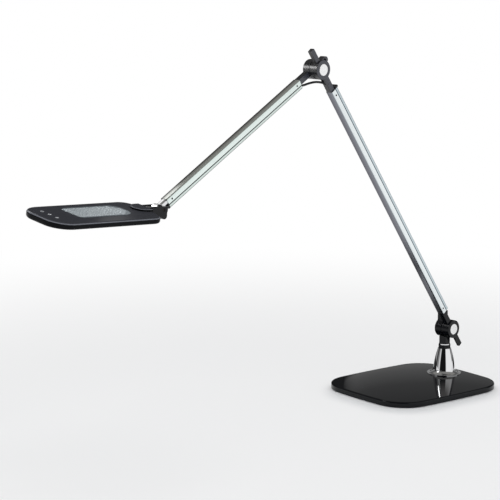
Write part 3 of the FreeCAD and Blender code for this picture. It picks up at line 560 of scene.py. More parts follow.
GLOSS_BLACK = Finish("moulded_gloss_black", "07080b", "0d0f13", roughness=0.05, spread=0.02, pitch=9 * MM,
                     relief=0.01 * MM, strength=0.03, cloud=60 * MM, specular=0.22)
# Painted light: the satin black's faces that look +X, towards the key light, are painted lighter.
SATIN_BLACK = PaintedLightFinish("cast_satin_black", "0b0c10", "121318", roughness=0.30, spread=0.05,
                          pitch=0.5 * MM, relief=0.002 * MM, strength=0.03, cloud=9 * MM, specular=0.75,
                          painted_lit_colour="363841")
DEEP_BLACK = Finish("cast_deep_black", "0b0c10", "121318", roughness=0.20, spread=0.05, pitch=0.5 * MM,
                    relief=0.006 * MM, strength=0.12, cloud=9 * MM, specular=0.24)
CHROME = Finish("bright_chrome", "dcdddf", "e8e8e9", metallic=1.0, roughness=0.02, spread=0.01,
                pitch=14 * MM, relief=0.005 * MM, strength=0.03, cloud=25 * MM)
# The arms' tones are painted light and shade: dark backs, dark grooves and lips, and lighter sides.
LOWER_ALUMINIUM = ArmFinish(
    "brushed_lower_arm", "f2f5f6", "fafbfc", metallic=1.0, roughness=0.26, spread=0.06, grain=Grain.BRUSHED,
    pitch=0.6 * MM, relief=0.003 * MM, strength=0.08, turn=LOWER_ANGLE, centre=SHOULDER, back=1,
    middle=10.0 * MM,
    face_painted_shading=((-4.1 * MM, "a4a8ad"), (-3.2 * MM, "eef3f4"), (2.7 * MM, "fbffff"), (2.9 * MM, "8b989f"),
                (4.1 * MM, "8b989f"), (4.3 * MM, "d2dce0"), (6.8 * MM, "c6d1d6"), (7.0 * MM, "7a878d"),
                (7.7 * MM, "7a878d")),
    back_painted_shading=((0.0, "3f3f46"), (0.10, "6c6c73"), (0.55, "828289"), (0.88, "8f9298"), (1.0, "a4a8ad")))
UPPER_ALUMINIUM = ArmFinish(
    "brushed_upper_arm", "e8efed", "f4f9f7", metallic=1.0, roughness=0.26, spread=0.06, grain=Grain.BRUSHED,
    pitch=0.6 * MM, relief=0.003 * MM, strength=0.08, turn=UPPER_ANGLE, centre=ELBOW, back=-1,
    middle=-3.0 * MM,
    face_painted_shading=((-4.1 * MM, "d9dbd8"), (-2.6 * MM, "f4faf8"), (2.7 * MM, "fbfffe"), (2.9 * MM, "525b58"),
                (4.1 * MM, "525b58"), (4.3 * MM, "e9eeec"), (6.6 * MM, "e4eae7"), (6.8 * MM, "566060"),
                (7.7 * MM, "566060")),
    back_painted_shading=((0.0, "0a0a0a"), (0.17, "121212"), (0.24, "62605e"), (0.36, "b0adaa"), (0.52, "e2dfdc"),
                (0.75, "faf8f6"), (1.0, "f6f6f4")))
LOWER_STRIP = Finish("ribbed_lower_strip", "6f7377", "85898d", roughness=0.45, spread=0.1,
                     grain=Grain.BRUSHED, pitch=1.1 * MM, relief=0.08 * MM, strength=0.5, turn=LOWER_ANGLE)
UPPER_STRIP = replace(LOWER_STRIP, name="ribbed_upper_strip", turn=UPPER_ANGLE)
SHOULDER_SILVER = Finish("turned_shoulder_cap", "f0f1f2", "f8f8f8", metallic=0.9, roughness=0.24, spread=0.10,
                         grain=Grain.TURNED, pitch=0.3 * MM, strength=0.12, centre=SHOULDER)
ELBOW_SILVER = replace(SHOULDER_SILVER, name="turned_elbow_cap", colour="f6f7f7", drift="fbfbfb",
                       centre=ELBOW)
CABLE_JACKET = Finish("cable_jacket", "111214", "1b1c1f", roughness=0.5, spread=0.08, pitch=0.4 * MM,
                      relief=0.03 * MM, strength=0.3, cloud=6 * MM)
DARK_MOULDING = Finish("fine_dark_moulding", "17181a", "202225", roughness=0.48, spread=0.08,
                       pitch=0.35 * MM, relief=0.02 * MM, strength=0.35, cloud=8 * MM)
# Painted light and shade: the head's top is charcoal, its other faces are painted near black as shade, and
# the rounded edge round the top carries a painted highlight.
HEAD_CHARCOAL = PaintedLightFinish("satin_charcoal", "0b0c0f", "131417", roughness=0.30, spread=0.06,
                            pitch=0.28 * MM, relief=0.008 * MM, strength=0.2, cloud=40 * MM, specular=0.07,
                            way=HEAD_TOP, painted_lit_colour="36373c", painted_highlight_colour="777980")
PANEL_GREY = Finish("panel_cell_grey", "b4bcc1", "c5cccf", metallic=0.3, roughness=0.38, spread=0.10,
                    grain=Grain.BRUSHED, pitch=0.5 * MM, strength=0.15, turn=HEAD_PITCH)
# Painted shade: the bed between the cells is darker than the cells, as the shade in the gaps.
PANEL_BED_PAINTED_SHADE = Finish("panel_bed_painted_shade", "7b8388", "8d959a", metallic=0.3, roughness=0.42, spread=0.08,
                   pitch=0.4 * MM, strength=0.2, cloud=12 * MM)
MARK_WHITE = Finish("printed_white", "c4c7ca", "dfe1e3", roughness=0.4, spread=0.05, pitch=0.2 * MM,
                    relief=0.004 * MM, strength=0.15, cloud=3 * MM)
STEEL = Finish("plated_steel", "a9abae", "bdbfc1", metallic=1.0, roughness=0.28, spread=0.1, pitch=0.4 * MM,
               relief=0.01 * MM, strength=0.15, cloud=5 * MM)
SCREW_BLACK = Finish("blacked_screw", "1c1a19", "2a2624", metallic=0.8, roughness=0.38, spread=0.1,
                     pitch=0.3 * MM, relief=0.01 * MM, strength=0.2, cloud=3 * MM)
FOAM = Finish("foam_pad", "1d1e20", "2a2b2e", roughness=0.92, spread=0.06, pitch=0.6 * MM, relief=0.2 * MM,
              strength=0.7, cloud=10 * MM)
BALLAST = Finish("raw_ballast_plate", "55575a", "6b6662", metallic=0.9, roughness=0.5, spread=0.15,
                 pitch=1.2 * MM, relief=0.04 * MM, strength=0.3, cloud=14 * MM)
BOARD_GREEN = Finish("lacquered_board_green", "1f5c3a", "2a6d45", roughness=0.38, spread=0.08,
                     pitch=1.4 * MM, relief=0.03 * MM, strength=0.3, cloud=4 * MM)
BOARD_WHITE = Finish("lacquered_board_white", "dfe1e0", "eef0ef", roughness=0.42, spread=0.06,
                     pitch=0.9 * MM, relief=0.02 * MM, strength=0.2, cloud=8 * MM)
PHOSPHOR = Finish("chip_phosphor", "e8c84a", "f0d770", roughness=0.45, spread=0.05, pitch=0.3 * MM,
                  relief=0.02 * MM, strength=0.3, cloud=1 * MM)
OPAL = Finish("opal_sheet", "e6e9ea", "f1f3f3", roughness=0.32, spread=0.05, pitch=0.45 * MM,
              relief=0.02 * MM, strength=0.25, cloud=30 * MM)
BRASS = Finish("contact_brass", "b5924a", "c7a75f", metallic=1.0, roughness=0.26, spread=0.08,
               pitch=0.3 * MM, relief=0.01 * MM, strength=0.15, cloud=2 * MM)


# ---------------------------------------------------------------------------------------------
# Meshes


def placed(name: str, mesh: bpy.types.Mesh) -> bpy.types.Object:
    """A mesh as an object at the origin, in the scene.

    Args:
        name: The object's name.
        mesh: Its mesh, already in place.

    Returns:
        The new object.
    """
    piece = bpy.data.objects.new(name, mesh)
    bpy.context.collection.objects.link(piece)
    return piece


def solid(name: str, form: bmesh.types.BMesh, finish: Finish, place: Matrix,
          smooth: float = 30.0) -> bpy.types.Object:
    """A closed form as a finished piece.

    Args:
        name: The piece's name.
        form: The form in its local frame, freed here.
        finish: The piece's finish.
        place: Where the local frame lies on the lamp.
        smooth: Edges flatter than this many degrees are shaded smooth.

    Returns:
        The new piece.
    """
    bmesh.ops.recalc_face_normals(form, faces=form.faces)
    mesh = bpy.data.meshes.new(name)
    form.to_mesh(mesh)
    form.free()
    mesh.transform(place)
    mesh.materials.append(finish.material())
    piece = placed(name, mesh)
    mesh.shade_smooth()
    mesh.set_sharp_from_angle(angle=math.radians(smooth))
    return piece


def dress(finish: Finish, *nodes: str) -> None:
    """Gives carried-over nodes their finish.

    Args:
        finish: The finish.
        nodes: The nodes' names.
    """
    for node in nodes:
        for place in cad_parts[node].material_slots:
            place.material = finish.material()
        LOG.info("dressed %s in %s", node, finish.name)


def install(piece: bpy.types.Object, body: str, node: str) -> None:
    """Puts a finished piece on its body, in the place of a node.

    Args:
        piece: The piece.
        body: The body that it moves with.
        node: The node that it stands for.
    """
    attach(piece, body)
    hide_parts(node)
    LOG.info("built %s", piece.name)


def stacked(form: bmesh.types.BMesh, loops: Sequence[Sequence[Point]]) -> None:
    """Joins closed loops of equal length into a closed skin with flat ends.

    Args:
        form: The mesh that the skin goes into.
        loops: The loops from the first end to the last.
    """
    rings = [[form.verts.new(spot) for spot in loop] for loop in loops]
    for lower, upper in zip(rings, rings[1:]):
        for at in range(len(lower)):
            after = (at + 1) % len(lower)
            form.faces.new((lower[at], lower[after], upper[after], upper[at]))
    form.faces.new(rings[0][::-1])
    form.faces.new(rings[-1])


def arc(centre: Flat, radius: float, start: float, end: float, steps: int) -> list[Flat]:
    """Points on a circle from one angle to another, in degrees."""
    turns = [math.radians(start + (end - start) * at / steps) for at in range(steps + 1)]
    return [(centre[0] + radius * math.cos(t), centre[1] + radius * math.sin(t)) for t in turns]


def spoke(centre: Flat, start: float, end: float, half: float, angle: float) -> list[Flat]:
    """The corners of a bar that points away from a centre.

    Args:
        centre: The centre.
        start: The bar's nearest distance from it.
        end: Its farthest distance.
        half: Its half width.
        angle: The way that it points, in degrees from X.

    Returns:
        The four corners in order.
    """
    turn = math.radians(angle)
    corners = ((start, -half), (end, -half), (end, half), (start, half))
    return [(centre[0] + out * math.cos(turn) - side * math.sin(turn),
             centre[1] + out * math.sin(turn) + side * math.cos(turn)) for out, side in corners]


def smooth_line(points: Sequence[Point]) -> list[Vector]:
    """The points of a smooth cable line through a route.

    Args:
        points: The route's control points.

    Returns:
        Points close together along the NURBS spline.
    """
    curve = bpy.data.curves.new("cable_line", "CURVE")
    curve.dimensions = "3D"
    curve.resolution_u = 14
    spline = curve.splines.new("NURBS")
    spline.points.add(len(points) - 1)
    for knot, spot in zip(spline.points, points):
        knot.co = (*spot, 1.0)
    spline.order_u = 3
    spline.use_endpoint_u = True
    carrier = bpy.data.objects.new("cable_line", curve)
    mesh = bpy.data.meshes.new_from_object(carrier)
    line = [vertex.co.copy() for vertex in mesh.vertices]
    bpy.data.objects.remove(carrier)
    bpy.data.meshes.remove(mesh)
    return line


def tube_loops(line: Sequence[Vector], radius: float, sides: int) -> list[list[Point]]:
    """Circles about a line, each turned as little as can be from the one before.

    Args:
        line: The points of the centre line.
        radius: The circles' radius.
        sides: The points on each circle.

    Returns:
        One loop of points for each point of the line.
    """
    loops = []
    turns = [2 * math.pi * share / sides for share in range(sides)]
    side = Vector((0, 0, 1))
    for at, spot in enumerate(line):
        ahead = (line[min(at + 1, len(line) - 1)] - line[max(at - 1, 0)]).normalized()
        side = (side - ahead * side.dot(ahead)).normalized()
        other = ahead.cross(side)
        loops.append([tuple(spot + (side * math.cos(t) + other * math.sin(t)) * radius) for t in turns])
    return loops


class Recess(Enum):
    """The drive in a screw's head."""

    CROSS = "cross"
    HEX = "hex socket"


@dataclass
class ScrewSet:
    """Screws of one kind that face one way on one body.

    Attributes:
        name: The piece's name.
        spots: The middle of each screw's face, in the local frame.
        radius: The head's radius.
        height: The head's height below its face.
        recess: The drive in the face.
        facing: The turn that takes +Z to the way the faces look.
        sides: The sides of the round head.
        stem_height: The straight part's height, as a share of the head's.
        rim_height: The sloped rim's height, as a share of the head's.
        rim_top: The face's radius, as a share of the head's.
        recess_depth: The drive's depth, as a share of the head's radius.
        cross_width: The width of a cross's slots, as such a share.
        cross_length: Their length, as such a share.
        hex_radius: The radius of a hex socket's corners, as such a share.
    """

    name: str
    spots: Sequence[Point]
    radius: float
    height: float
    recess: Recess
    facing: Point
    sides: int = 40
    stem_height: float = 0.8
    rim_height: float = 0.24
    rim_top: float = 0.86
    recess_depth: float = 0.55
    cross_width: float = 0.34
    cross_length: float = 1.25
    hex_radius: float = 0.58

    def build(self, finish: Finish, place: Matrix) -> bpy.types.Object:
        """Grows the screws.

        Args:
            finish: Their finish.
            place: Where the local frame lies on the lamp.

        Returns:
            One piece with all the screws.
        """
        tree = FormTree(self.name, {"Radius": self.radius, "Height": self.height, "Sides": self.sides,
                                    "Recess Width": self.radius * self.cross_width,
                                    "Recess Depth": self.radius * self.recess_depth})
        radius, height, sides = tree.size("Radius"), tree.size("Height"), tree.size("Sides")
        stem = tree.form("MeshCylinder", {"Vertices": sides, "Radius": radius,
                                          "Depth": height * self.stem_height})
        rim = tree.form("MeshCone", {"Vertices": sides, "Radius Top": radius * self.rim_top,
                                     "Radius Bottom": radius, "Depth": height * self.rim_height})
        parts = [tree.moved(stem, tree.triple(0, 0, height * (self.stem_height / 2 - 1))),
                 tree.moved(rim, tree.triple(0, 0, height * -self.rim_height))]
        head = tree.form("MeshBoolean", {1: parts}, operation="UNION", solver="EXACT")
        cut = tree.form("MeshBoolean", {0: head, 1: self._tools(tree)}, operation="DIFFERENCE",
                        solver="EXACT")
        spread = tree.form("InstanceOnPoints", {"Points": tree.seed(), "Instance": cut,
                                                "Rotation": self.facing})
        seed = bpy.data.meshes.new(self.name + "_spots")
        seed.from_pydata(list(self.spots), [], [])
        return tree.grow(spread, self.name, seed, finish, place)

    def _tools(self, tree: FormTree) -> list[Wire]:
        """The solids that cut the drive into a head.

        Args:
            tree: The tree that the nodes go into.

        Returns:
            One solid for a hex socket, two for a cross.
        """
        radius, width, depth = tree.size("Radius"), tree.size("Recess Width"), tree.size("Recess Depth") * 2
        if self.recess is Recess.HEX:
            return [tree.form("MeshCylinder", {"Vertices": 6, "Radius": radius * self.hex_radius,
                                               "Depth": depth})]
        long = radius * self.cross_length
        sizes = (tree.triple(long, width, depth), tree.triple(width, long, depth))
        return [tree.form("MeshCube", {"Size": size}) for size in sizes]


# ---------------------------------------------------------------------------------------------
# Sub-assemblies


@dataclass
class Base:
    """The weighted base, its inlet and the chrome cone."""

    def dress(self) -> None:
        """Gives the base's nodes their finishes."""
        dress(GLOSS_BLACK, "base_cover")
        dress(FOAM, "base_pad")
        dress(BALLAST, "base_weight")
        dress(STEEL, "base_screws", "cone_screws")
        dress(DARK_MOULDING, "dc_inlet", "swivel_bush")
        dress(BRASS, "dc_inlet_pin")
        dress(BOARD_GREEN, "driver_board")
        dress(CABLE_JACKET, "base_lead")
        dress(CHROME, "swivel_cone")


@dataclass
class Post:
    """The post that swivels in the cone and carries the shoulder hinge."""

    def dress(self) -> None:
        """Gives the post's nodes their finishes."""
        dress(DEEP_BLACK, "shoulder_post", "post_foot")
        dress(CHROME, "swivel_collar")
        dress(STEEL, "swivel_washer", "swivel_nut", "shoulder_bolt", "shoulder_nut")


@dataclass
class Arm:
    """A flat arm on its hinge.

    Attributes:
        hinge: The hinge that the arm turns on.
        angle: The arm's angle about X, in degrees.
        screw_along: The grub screws' distances along the arm.
        face: The tube's near face.
        screw_radius: The grub screws' radius.
        screw_height: Their height below the face.
    """

    hinge: Point
    angle: float
    screw_along: Sequence[float]
    face: float
    screw_radius: float = 1.2 * MM
    screw_height: float = 2.6 * MM

    def place(self) -> Matrix:
        """Where the arm's local frame lies on the lamp."""
        return Matrix.Translation(self.hinge) @ Matrix.Rotation(math.radians(self.angle), 4, "X")

    def build_screws(self, name: str) -> bpy.types.Object:
        """Makes the socket screws that hold the tube on its knuckles.

        Args:
            name: The piece's name.

        Returns:
            One piece with the arm's screws.
        """
        spots = [(self.face, along, 0) for along in self.screw_along]
        screws = ScrewSet(name, spots, self.screw_radius, self.screw_height, Recess.HEX, (0, math.pi / 2, 0))
        return screws.build(SCREW_BLACK, self.place())


@dataclass
class LowerArm(Arm):
    """The lower arm with its two near hinge halves."""

    hinge: Point = SHOULDER
    angle: float = LOWER_ANGLE
    screw_along: Sequence[float] = (40.8 * MM, 419.2 * MM)
    face: float = 15.6 * MM

    def dress(self) -> None:
        """Gives the lower arm's nodes their finishes."""
        dress(DEEP_BLACK, "lower_knuckle")
        dress(SATIN_BLACK, "middle_knuckle")
        dress(DARK_MOULDING, "shoulder_friction_washer", "elbow_friction_washer", "lower_channel_cap")
        dress(STEEL, "shoulder_spring_washer", "elbow_spring_washer")
        dress(SHOULDER_SILVER, "shoulder_cap")
        dress(ELBOW_SILVER, "elbow_cap")
        dress(LOWER_ALUMINIUM, "lower_arm_tube")
        dress(LOWER_STRIP, "lower_channel_strip")
        dress(CABLE_JACKET, "lower_arm_cable")

    def build(self) -> None:
        """Makes the arm's screws."""
        install(self.build_screws("lower_arm_grub_screws"), "lower_arm", "lower_arm_screws")


@dataclass
class UpperArm(Arm):
    """The upper arm, its head knuckle and the cable across the elbow.

    Attributes:
        cable_route: The control points of the elbow cable.
        cable_diameter: The cable's diameter.
        cable_sides: The sides of its round section.
        cable_smooth: Its edges flatter than this many degrees are shaded smooth.
    """

    hinge: Point = ELBOW
    angle: float = UPPER_ANGLE
    screw_along: Sequence[float] = (38.5 * MM, 280.3 * MM)
    face: float = 2.6 * MM
    cable_route: Sequence[Point] = (
        (-0.0030, -0.228212, 0.424498), (-0.0029, -0.221881, 0.424998), (-0.0010, -0.213881, 0.427198),
        (0.0024, -0.206381, 0.428798), (0.0064, -0.200781, 0.428498), (0.0098, -0.195581, 0.426998))
    cable_diameter: float = 2.9 * MM
    cable_sides: int = 20
    cable_smooth: float = 60.0

    def dress(self) -> None:
        """Gives the upper arm's nodes their finishes."""
        dress(SATIN_BLACK, "upper_knuckle")
        dress(STEEL, "elbow_bolt", "elbow_nut")
        dress(UPPER_ALUMINIUM, "upper_arm_tube")
        dress(UPPER_STRIP, "upper_channel_strip")
        dress(CABLE_JACKET, "upper_arm_cable")
        dress(DARK_MOULDING, "channel_end_cap")
        dress(CHROME, "head_knuckle")

    def build(self) -> None:
        """Makes the arm's screws and the elbow cable."""
        install(self.build_screws("upper_arm_grub_screws"), "upper_arm", "upper_arm_screws")
        self.build_cable()

    def build_cable(self) -> None:
        """Makes the short cable across the elbow."""
        line = smooth_line(self.cable_route)
        form = bmesh.new()
        stacked(form, tube_loops(line, self.cable_diameter / 2, self.cable_sides))
        cable = solid("elbow_cable_run", form, CABLE_JACKET, Matrix.Identity(4), self.cable_smooth)
        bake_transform(cable)
        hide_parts("elbow_cable")


@dataclass
class Head:
    """The yoke and the thin lamp head.

    Attributes:
        hinge: The tilt hinge.
        pitch: The head's pitch about X, in degrees.
        roll: The head's roll about its twist axis, in degrees.
        axis_height: The twist axis in the local frame.
        panel_half: The heat panel's half width.
        panel_rear: Its rear edge.
        panel_front: Its front edge.
        panel_low: Its underside.
        panel_floor: The bed that the cells stand on.
        panel_top: The top of its rim.
        rear_corner: The radius of its rear corners.
        front_corner: The radius of its front corners.
        rim: The rim's width.
        rim_edge: The width of the rim's bevels.
        cell_pitch: The distance between cells.
        cell: The width of a cell.
        cell_height: How high a cell stands.
        cell_taper: The width of a cell's top, as a share of its foot.
        columns: Cells across.
        rows: Cells along.
        mark_row: The touch marks' distance from the hinge.
        mark_pitch: The distance between marks.
        mark_low: The underside of the marks.
        mark_top: The top of the marks.
        mark_ring: The outer and the inner radius of the ringed marks.
        power_arc: Where the power mark's ring starts and ends, in degrees.
        power_bar: Its bar's start, end and half width.
        sun_radius: The sun's radius.
        sun_ray: A ray's start, end and half width.
        sun_rays: The number of rays.
        screw_across: The head screws' half spacing.
        screw_along: Their places along the head.
        screw_radius: Their radius.
        screw_height: Their height above the lower face.
        underside: The head's lower face.
    """

    hinge: Point = (-0.003, -0.46826043, 0.29752453)
    pitch: float = HEAD_PITCH
    roll: float = 9.0
    axis_height: float = -1.35 * MM
    panel_half: float = 18.95 * MM
    panel_rear: float = -50.05 * MM
    panel_front: float = -130.95 * MM
    panel_low: float = 0.9 * MM
    panel_floor: float = 1.35 * MM
    panel_top: float = 1.78 * MM
    rear_corner: float = 14 * MM
    front_corner: float = 7 * MM
    rim: float = 0.9 * MM
    rim_edge: float = 0.14 * MM
    cell_pitch: float = 4.8 * MM
    cell: float = 3.7 * MM
    cell_height: float = 0.45 * MM
    cell_taper: float = 0.84
    columns: int = 7
    rows: int = 16
    mark_row: float = -159.6 * MM
    mark_pitch: float = 13 * MM
    mark_low: float = 1.3 * MM
    mark_top: float = 1.62 * MM
    mark_ring: Flat = (2.1 * MM, 1.6 * MM)
    power_arc: Flat = (130.0, 410.0)
    power_bar: Point = (0.4 * MM, 2.3 * MM, 0.25 * MM)
    sun_radius: float = 1.05 * MM
    sun_ray: Point = (1.45 * MM, 2.3 * MM, 0.22 * MM)
    sun_rays: int = 8
    screw_across: float = 30 * MM
    screw_along: Sequence[float] = (-42 * MM, -156.5 * MM)
    screw_radius: float = 1.9 * MM
    screw_height: float = 2.4 * MM
    underside: float = -6.9 * MM

    def place(self) -> Matrix:
        """Where the head's local frame lies on the lamp."""
        axis = Matrix.Translation((0, 0, self.axis_height))
        rolled = axis @ Matrix.Rotation(math.radians(self.roll), 4, "Y") @ axis.inverted()
        return Matrix.Translation(self.hinge) @ Matrix.Rotation(math.radians(self.pitch), 4, "X") @ rolled

    def dress(self) -> None:
        """Gives the head's nodes their finishes."""
        dress(DEEP_BLACK, "head_yoke")
        dress(STEEL, "twist_retainer")
        dress(SCREW_BLACK, "tilt_pin")
        dress(DARK_MOULDING, "tilt_washers", "twist_bush", "hump_plug")
        dress(HEAD_CHARCOAL, "head_top_cover", "head_bottom_cover")
        dress(BOARD_GREEN, "touch_board")
        dress(BOARD_WHITE, "led_board")
        dress(PHOSPHOR, "led_chips")
        dress(OPAL, "diffuser")

    def build(self) -> None:
        """Makes the heat panel, the touch marks and the screws."""
        install(self.build_panel(), "head", "heat_panel")
        install(self.build_cells(), "head", "heat_panel")
        install(self.build_marks(), "head", "touch_marks")
        install(self.build_screws(), "head", "head_screws")

    def panel_outline(self, inset: float) -> list[Flat]:
        """The heat panel's outline, moved inwards.

        Args:
            inset: How far it is moved in.

        Returns:
            Points round the outline, the same number for any inset.
        """
        half, front, rear = self.panel_half - inset, self.panel_front + inset, self.panel_rear - inset
        near, far = self.front_corner - inset, self.rear_corner - inset
        return (arc((half - near, front + near), near, -90, 0, 6)
                + arc((half - far, rear - far), far, 0, 90, 14)
                + arc((far - half, rear - far), far, 90, 180, 14)
                + arc((near - half, front + near), near, 180, 270, 6))

    def build_panel(self) -> bpy.types.Object:
        """Makes the heat panel's bed, a plate with a raised rim.

        Returns:
            The bed.
        """
        edge, top = self.rim_edge, self.panel_top
        steps = ((0.0, self.panel_low), (0.0, top - edge), (edge, top), (self.rim - edge, top),
                 (self.rim, self.panel_floor))
        form = bmesh.new()
        stacked(form, [[(x, y, z) for x, y in self.panel_outline(inset)] for inset, z in steps])
        # The bed carries painted shade between the cells.
        return solid("heat_panel_bed", form, PANEL_BED_PAINTED_SHADE, self.place())

    def build_cells(self) -> bpy.types.Object:
        """Makes the rows of small square cells on the heat panel's bed.

        Returns:
            One piece with all the cells.
        """
        tree = FormTree("heat_panel_cells", {
            "Pitch": self.cell_pitch, "Cell": self.cell, "Cell Height": self.cell_height,
            "Columns": self.columns, "Rows": self.rows, "Half Width": self.panel_half,
            "Half Length": (self.panel_rear - self.panel_front) / 2, "Corner": self.rear_corner})
        across, along, pitch = tree.size("Columns"), tree.size("Rows"), tree.size("Pitch")
        cell, corner = tree.size("Cell"), tree.size("Corner")
        grid = tree.form("MeshGrid", {"Size X": pitch * (across - 1), "Size Y": pitch * (along - 1),
                                      "Vertices X": across, "Vertices Y": along})
        x, y, _ = tree.parts(tree.out(tree.node("GeometryNodeInputPosition")))
        past_x = tree.math("MAXIMUM", tree.math("ABSOLUTE", x) - (tree.size("Half Width") - corner), 0)
        past_y = tree.math("MAXIMUM", y - (tree.size("Half Length") - corner), 0)
        outside = tree.math("GREATER_THAN", tree.span(past_x, past_y), corner - cell)
        kept = tree.form("DeleteGeometry", {"Geometry": grid, "Selection": outside}, domain="POINT")
        foot = cell / math.sqrt(2)
        block = tree.form("MeshCone", {"Vertices": 4, "Radius Top": foot * self.cell_taper,
                                       "Radius Bottom": foot, "Depth": tree.size("Cell Height")})
        squared = tree.moved(block, turn=(0, 0, math.pi / 4))
        spread = tree.form("InstanceOnPoints", {"Points": kept, "Instance": squared})
        laid = tree.moved(spread, (0, (self.panel_front + self.panel_rear) / 2, self.panel_floor))
        seed = bpy.data.meshes.new("heat_panel_seed")
        return tree.grow(laid, "heat_panel_cells", seed, PANEL_GREY, self.place())

    def build_marks(self) -> bpy.types.Object:
        """Makes three plain touch marks: power, half disc and sun.

        Returns:
            One piece with the three marks.
        """
        outer, inner = self.mark_ring
        start, end = self.power_arc
        power, half, sun = ((at * self.mark_pitch, self.mark_row) for at in (-1, 0, 1))
        outlines = [arc(power, outer, start, end, 26) + arc(power, inner, end, start, 26),
                    spoke(power, *self.power_bar, 90.0),
                    arc(half, outer, 90, 270, 22) + arc(half, inner, 270, 90, 22),
                    arc(half, outer, -90, 90, 22),
                    arc(sun, self.sun_radius, 0, 345, 23)]
        outlines += [spoke(sun, *self.sun_ray, 360 * at / self.sun_rays) for at in range(self.sun_rays)]
        form = bmesh.new()
        for outline in outlines:
            stacked(form, [[(x, y, z) for x, y in outline] for z in (self.mark_low, self.mark_top)])
        return solid("touch_icons", form, MARK_WHITE, self.place())

    def build_screws(self) -> bpy.types.Object:
        """Makes the four cross-head screws under the head.

        Returns:
            One piece with the four screws.
        """
        spots = [(side * self.screw_across, along, self.underside)
                 for along in self.screw_along for side in (-1, 1)]
        screws = ScrewSet("head_cross_screws", spots, self.screw_radius, self.screw_height, Recess.CROSS,
                          (math.pi, 0, 0))
        return screws.build(SCREW_BLACK, self.place())


# ---------------------------------------------------------------------------------------------
# Studio


@dataclass(frozen=True)
class Light:
    """One round light of the studio.

    Attributes:
        name: The light's name.
        spot: Its place.
        size: Its diameter.
        power: Its power in watts.
        aim: The point that it faces.
        mirrored: True where it shows only as a gleam, False where it only lights.
    """

    name: str
    spot: Point
    size: float
    power: float
    aim: Point = (0.0, -0.25, 0.2)
    mirrored: bool = False

    def build(self) -> None:
        """Hangs the light."""
        lamp = bpy.data.lights.new(self.name, "AREA")
        lamp.shape = "DISK"
        lamp.size = self.size
        lamp.energy = self.power
        light = bpy.data.objects.new(self.name, lamp)
        light.location = self.spot
        light.rotation_euler = (Vector(self.aim) - Vector(self.spot)).to_track_quat("-Z", "Y").to_euler()
        light.visible_glossy = self.mirrored
        light.visible_diffuse = not self.mirrored
        light.visible_camera = False
        bpy.context.collection.objects.link(light)


